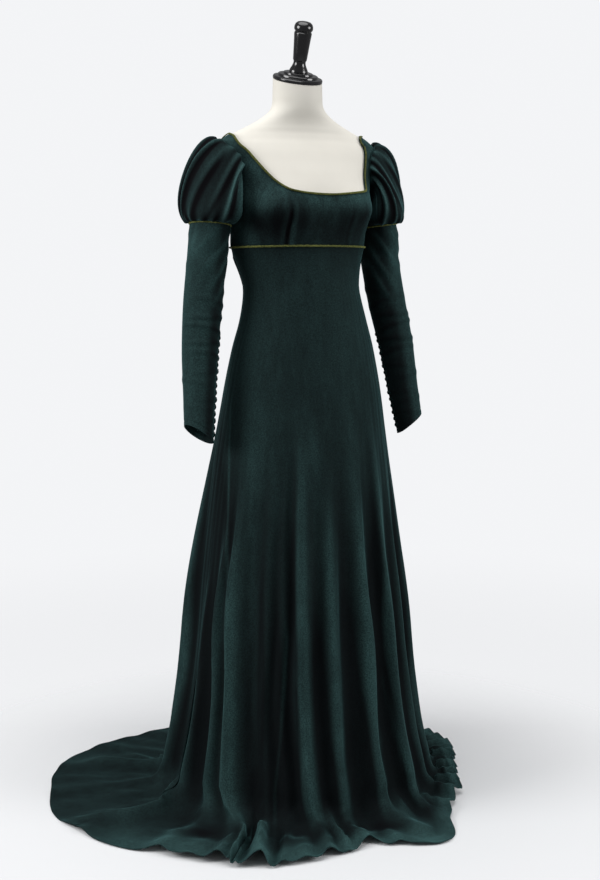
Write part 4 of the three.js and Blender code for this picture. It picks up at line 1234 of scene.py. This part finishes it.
class GOWN_OT_buttons(bpy.types.Operator):
    """Makes the covered buttons down each forearm, each with its loop"""

    bl_idname = "gown.buttons"
    bl_label = "Buttons"

    def execute(self, context):
        pattern, loop = self.one_button(), self.one_loop()
        heights = np.linspace(BUTTONS["top"], BUTTONS["bottom"], BUTTONS["count"])
        for word, sign in SIDES:
            loops = []
            for number, height in enumerate(heights, 1):
                seat, normal, forward = self.seat(height)
                places = [mirror_points(place, sign) for place in (seat, seat + forward * LOOP["ahead"])]
                normal = mirror_points(normal, sign)
                name = f"button_{word}_{number:02d}"
                made = self.place_copy(pattern, f"covered_{name}", places[0], normal)
                finish_piece(made, "gown_velvet", name)
                loops.append(self.place_copy(loop, f"loop_{number}", places[1], normal))
            select_only(loops[0])
            for piece in loops:
                piece.select_set(True)
            bpy.ops.object.join()
            loops[0].name = f"button_loops_{word}"
            finish_piece(loops[0], "gown_velvet")
        for used in (pattern, loop):
            bpy.data.objects.remove(used)
        return {"FINISHED"}

    def seat(self, height):
        """Where a button sits on the left sleeve's inner line, which way it looks, and forward."""
        round_ = np.array(float(OPENING["middle"]))
        down = (SLEEVE_TOP - height) / (SLEEVE_TOP - CUFF["centre"] + CUFF["slope"])
        normal = normal_of(sleeve_skin, round_, np.array(down), 1.0, 0.005)
        _, _, outward, forward = arm_frame(np.array(height))
        if (normal * outward).sum() > 0:
            normal = -normal
        return sleeve_skin(round_, np.array(down)) + normal * GAP, normal, forward

    def one_button(self):
        """A cloth-covered dome, cut flat underneath."""
        radius, height = BUTTONS["radius"] * MM, BUTTONS["height"] * MM
        bpy.ops.mesh.primitive_uv_sphere_add(segments=20, ring_count=12, radius=radius)
        obj = bpy.context.active_object
        with editing(obj):
            bpy.ops.transform.resize(value=(1, 1, 0.5 * height / radius * 1.25))
            bpy.ops.transform.translate(value=(0, 0, height * 0.55))
            bpy.ops.mesh.bisect(
                plane_co=(0, 0, 0), plane_no=(0, 0, 1), use_fill=True, clear_inner=True
            )
        smooth_shading(obj, 60)
        return obj

    def one_loop(self):
        """An oval loop of cord, which lies round the button."""
        bpy.ops.mesh.primitive_torus_add(
            major_radius=LOOP["radius"] * MM, minor_radius=LOOP["thick"] * MM, major_segments=20,
            minor_segments=6,
        )
        obj = bpy.context.active_object
        with editing(obj):
            bpy.ops.transform.resize(value=(0.8, 1.25, 1.0))
            bpy.ops.transform.translate(value=(0, 0, 1.0 * MM))
        bpy.ops.object.shade_smooth()
        return obj

    def place_copy(self, pattern, name, seat, normal):
        obj = add_object(name, pattern.data.copy())
        obj.data.name = name
        turn = Vector(normal.ravel()).to_track_quat("Z", "Y").to_matrix().to_4x4()
        turn.translation = Vector((seat * MM).ravel())
        obj.data.transform(turn)
        return obj


class GOWN_OT_dress_form(bpy.types.Operator):
    """Makes the jersey-covered torso that wears the gown"""

    bl_idname = "gown.dress_form"
    bl_label = "Dress form"

    def execute(self, context):
        turns = np.arange(0, 360, 2.5)
        hips = np.linspace(740, 1150, 42)
        upper = np.concatenate([np.linspace(1175, 1340, 30), np.linspace(1344, NECK_TOP, 76)])
        degrees, height = np.meshgrid(turns, hips)
        below = section(FORM_HIPS, degrees, height)
        degrees, height = np.meshgrid(turns, upper)
        filled = ramp(height, FORM_EASE["from"], FORM_EASE["to"])
        above = torso(degrees, height, -WALL - mix(FORM_EASE["body"], FORM_EASE["shoulders"], filled))
        above[-1, :, 2] = NECK_TOP + above[-1, :, 1] * math.tan(NECK_TILT)
        grid = np.concatenate([below, above])
        obj = grid_mesh("dress_form_torso", grid, closed=True, outward=from_axis)
        with editing(obj):
            bpy.ops.mesh.select_all(action="DESELECT")
            bpy.ops.mesh.select_non_manifold()
            bpy.ops.mesh.fill_holes(sides=0)
            bpy.ops.mesh.select_all(action="SELECT")
            bpy.ops.mesh.normals_make_consistent(inside=False)
        smooth_shading(obj, 45)
        finish_piece(obj, "form_cloth", "form_torso")
        return {"FINISHED"}


class GOWN_OT_neck_cap(bpy.types.Operator):
    """Makes the turned cap on the neck and the handle above it"""

    bl_idname = "gown.neck_cap"
    bl_label = "Neck cap"

    CAP = ((0.0, 0.0), (50.0, 0.0), (51.6, 1.2), (52.0, 3.0), (51.8, 5.6), (50.6, 7.2), (47.0, 8.0),
           (42.4, 8.6), (41.8, 10.2), (41.6, 11.6), (40.6, 12.6), (36.0, 13.0), (31.4, 13.5),
           (30.9, 15.0), (30.4, 16.4), (28.5, 17.0), (0.0, 17.0))
    HANDLE = ((0.0, 17.3), (19.5, 17.3), (19.8, 19.0), (18.6, 22.6), (15.2, 29.0), (13.2, 34.0),
              (12.5, 38.0), (13.3, 40.6), (14.4, 43.0), (15.6, 60.0), (17.3, 84.0), (18.2, 94.0),
              (18.2, 97.0), (17.0, 98.6), (16.6, 99.6), (17.4, 100.8), (18.9, 102.4), (19.6, 106.0),
              (19.2, 110.5), (17.2, 115.0), (13.0, 118.4), (7.0, 119.8), (0.0, 120.0))

    def execute(self, context):
        seat = self.seat()
        for name, profile in (("neck_cap", self.CAP), ("neck_handle", self.HANDLE)):
            obj = self.turned(f"turned_{name}", profile, seat)
            finish_piece(obj, "turned_wood", name)
        return {"FINISHED"}

    def seat(self):
        """The middle of the neck's top, in the plane that leans forward."""
        turns = np.arange(0, 360, 360 / 28)
        top = torso(turns, np.full(28, NECK_TOP), -(WALL + FORM_EASE["shoulders"]))
        top[:, 2] = NECK_TOP + top[:, 1] * math.tan(NECK_TILT)
        middle = top.mean(0)
        up = np.array([0, -math.sin(NECK_TILT), math.cos(NECK_TILT)])
        return middle + up * GAP

    def turned(self, name, profile, seat):
        """Spins a half section (radius, height) round the neck's axis."""
        mesh = bpy.data.meshes.new(name)
        edges = [(i, i + 1) for i in range(len(profile) - 1)]
        mesh.from_pydata([(r * MM, 0, z * MM) for r, z in profile], edges, [])
        obj = add_object(name, mesh)
        with editing(obj):
            bpy.ops.mesh.spin(steps=72, angle=2 * math.pi, center=(0, 0, 0), axis=(0, 0, 1))
            bpy.ops.mesh.select_all(action="SELECT")
            weld(0.00001)
            bpy.ops.transform.rotate(value=-NECK_TILT, orient_axis="X", center_override=(0, 0, 0))
            bpy.ops.transform.translate(value=tuple(seat * MM))
        smooth_shading(obj, 32)
        return obj


class GOWN_OT_stand(bpy.types.Operator):
    """Finishes the pole and base under the skirt"""

    bl_idname = "gown.stand"
    bl_label = "Stand"

    def execute(self, context):
        for name in ("stand_pole", "stand_base"):
            obj = add_object(f"painted_{name}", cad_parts[name].data.copy())
            with editing(obj):
                bpy.ops.mesh.remove_doubles(threshold=0.00001)
            apply_modifier(obj, "BEVEL", width=0.0008, segments=2, limit_method="ANGLE")
            smooth_shading(obj, 35)
            finish_piece(obj, "stand_metal", name)
        return {"FINISHED"}


class GOWN_OT_studio(bpy.types.Operator):
    """Makes the white sweep, the soft lights and the camera"""

    bl_idname = "gown.studio"
    bl_label = "Studio"

    # Each soft light: where it stands, what it faces, how wide it is and its share of the key.
    LIGHTS = (
        ("softbox_left", (-2.7, 0.1, 1.9), (0, 0, 0.8), 1.7, 1.35),
        ("softbox_right", (2.1, -1.8, 1.7), (0, 0, 0.85), 1.5, 0.9),
        ("softbox_top", (-0.3, -0.5, 3.7), (0, 0, 0.0), 3.2, 1.6),
    )

    def execute(self, context):
        studio = context.scene.gown_studio
        self.floor()
        self.air(context, studio)
        for name, place, target, size, share in self.LIGHTS:
            self.light(name, place, target, size, share * studio.key)
        self.camera(context, studio)
        context.scene.view_settings.view_transform = "Standard"
        return {"FINISHED"}

    FLOOR = (0.91, 0.92, 0.935)
    AIR = (0.90, 0.908, 0.925, 1.0)

    def floor(self):
        bpy.ops.mesh.primitive_plane_add(size=60.0, location=(0, 0, 0))
        obj = bpy.context.active_object
        obj.name = "studio_floor"
        obj.data.materials.append(floor_paint("studio_floor", self.FLOOR))

    def air(self, context, studio):
        """A white room to look at, which lights the gown less than it shows."""
        world = bpy.data.worlds.new("studio_air")
        world.use_nodes = True
        tree = world.node_tree
        tree.nodes.clear()
        seen = tree.nodes.new("ShaderNodeLightPath")
        strength = tree.nodes.new("ShaderNodeMapRange")
        strength.inputs["To Min"].default_value = studio.air
        strength.inputs["To Max"].default_value = 1.0
        back = tree.nodes.new("ShaderNodeBackground")
        back.inputs["Color"].default_value = self.AIR
        out = tree.nodes.new("ShaderNodeOutputWorld")
        tree.links.new(seen.outputs["Is Camera Ray"], strength.inputs["Value"])
        tree.links.new(strength.outputs[0], back.inputs["Strength"])
        tree.links.new(back.outputs[0], out.inputs["Surface"])
        context.scene.world = world

    def light(self, name, place, target, size, power):
        data = bpy.data.lights.new(name, "AREA")
        data.shape, data.size, data.energy = "DISK", size, power
        obj = add_object(name, data)
        obj.location = place
        obj.rotation_euler = (Vector(target) - Vector(place)).to_track_quat("-Z", "Y").to_euler()

    def camera(self, context, studio):
        data = bpy.data.cameras.new("camera")
        data.lens, data.sensor_width, data.sensor_fit = studio.lens, 36.0, "AUTO"
        obj = add_object("camera", data)
        ahead = Vector((math.sin(studio.azimuth), math.cos(studio.azimuth), 0))
        right = Vector((math.cos(studio.azimuth), -math.sin(studio.azimuth), 0))
        obj.location = -studio.distance * ahead + studio.aside * right
        obj.location.z = studio.height
        look = ahead * math.cos(studio.tilt) - Vector((0, 0, math.sin(studio.tilt)))
        obj.rotation_euler = look.to_track_quat("-Z", "Y").to_euler()
        context.scene.camera = obj


OPERATORS = (
    GOWN_OT_studio,
    GOWN_OT_bodice,
    GOWN_OT_skirt,
    GOWN_OT_puffs,
    GOWN_OT_sleeves,
    GOWN_OT_trims,
    GOWN_OT_buttons,
    GOWN_OT_dress_form,
    GOWN_OT_neck_cap,
    GOWN_OT_stand,
)


class GOWN_PT_pieces(bpy.types.Panel):
    """Lists the gown's pieces and their settings"""

    bl_idname = "GOWN_PT_pieces"
    bl_label = "Gown"
    bl_space_type = "VIEW_3D"
    bl_region_type = "UI"
    bl_category = "Gown"

    def draw(self, context):
        scene = context.scene
        for group in (scene.gown_colours, scene.gown_detail, scene.gown_studio):
            box = self.layout.box()
            for name in group.__annotations__:
                box.prop(group, name)
        for operator in OPERATORS:
            self.layout.operator(operator.bl_idname)


CLASSES = (GownColours, GownDetail, StudioSettings, *OPERATORS, GOWN_PT_pieces)


def register():
    for made in CLASSES:
        bpy.utils.register_class(made)
    bpy.types.Scene.gown_colours = bpy.props.PointerProperty(type=GownColours)
    bpy.types.Scene.gown_detail = bpy.props.PointerProperty(type=GownDetail)
    bpy.types.Scene.gown_studio = bpy.props.PointerProperty(type=StudioSettings)


def unregister():
    del bpy.types.Scene.gown_studio
    del bpy.types.Scene.gown_detail
    del bpy.types.Scene.gown_colours
    for made in reversed(CLASSES):
        bpy.utils.unregister_class(made)


def main():
    register()
    for operator in OPERATORS:
        group, name = operator.bl_idname.split(".")
        getattr(getattr(bpy.ops, group), name)()


if __name__ == "__main__":
    main()
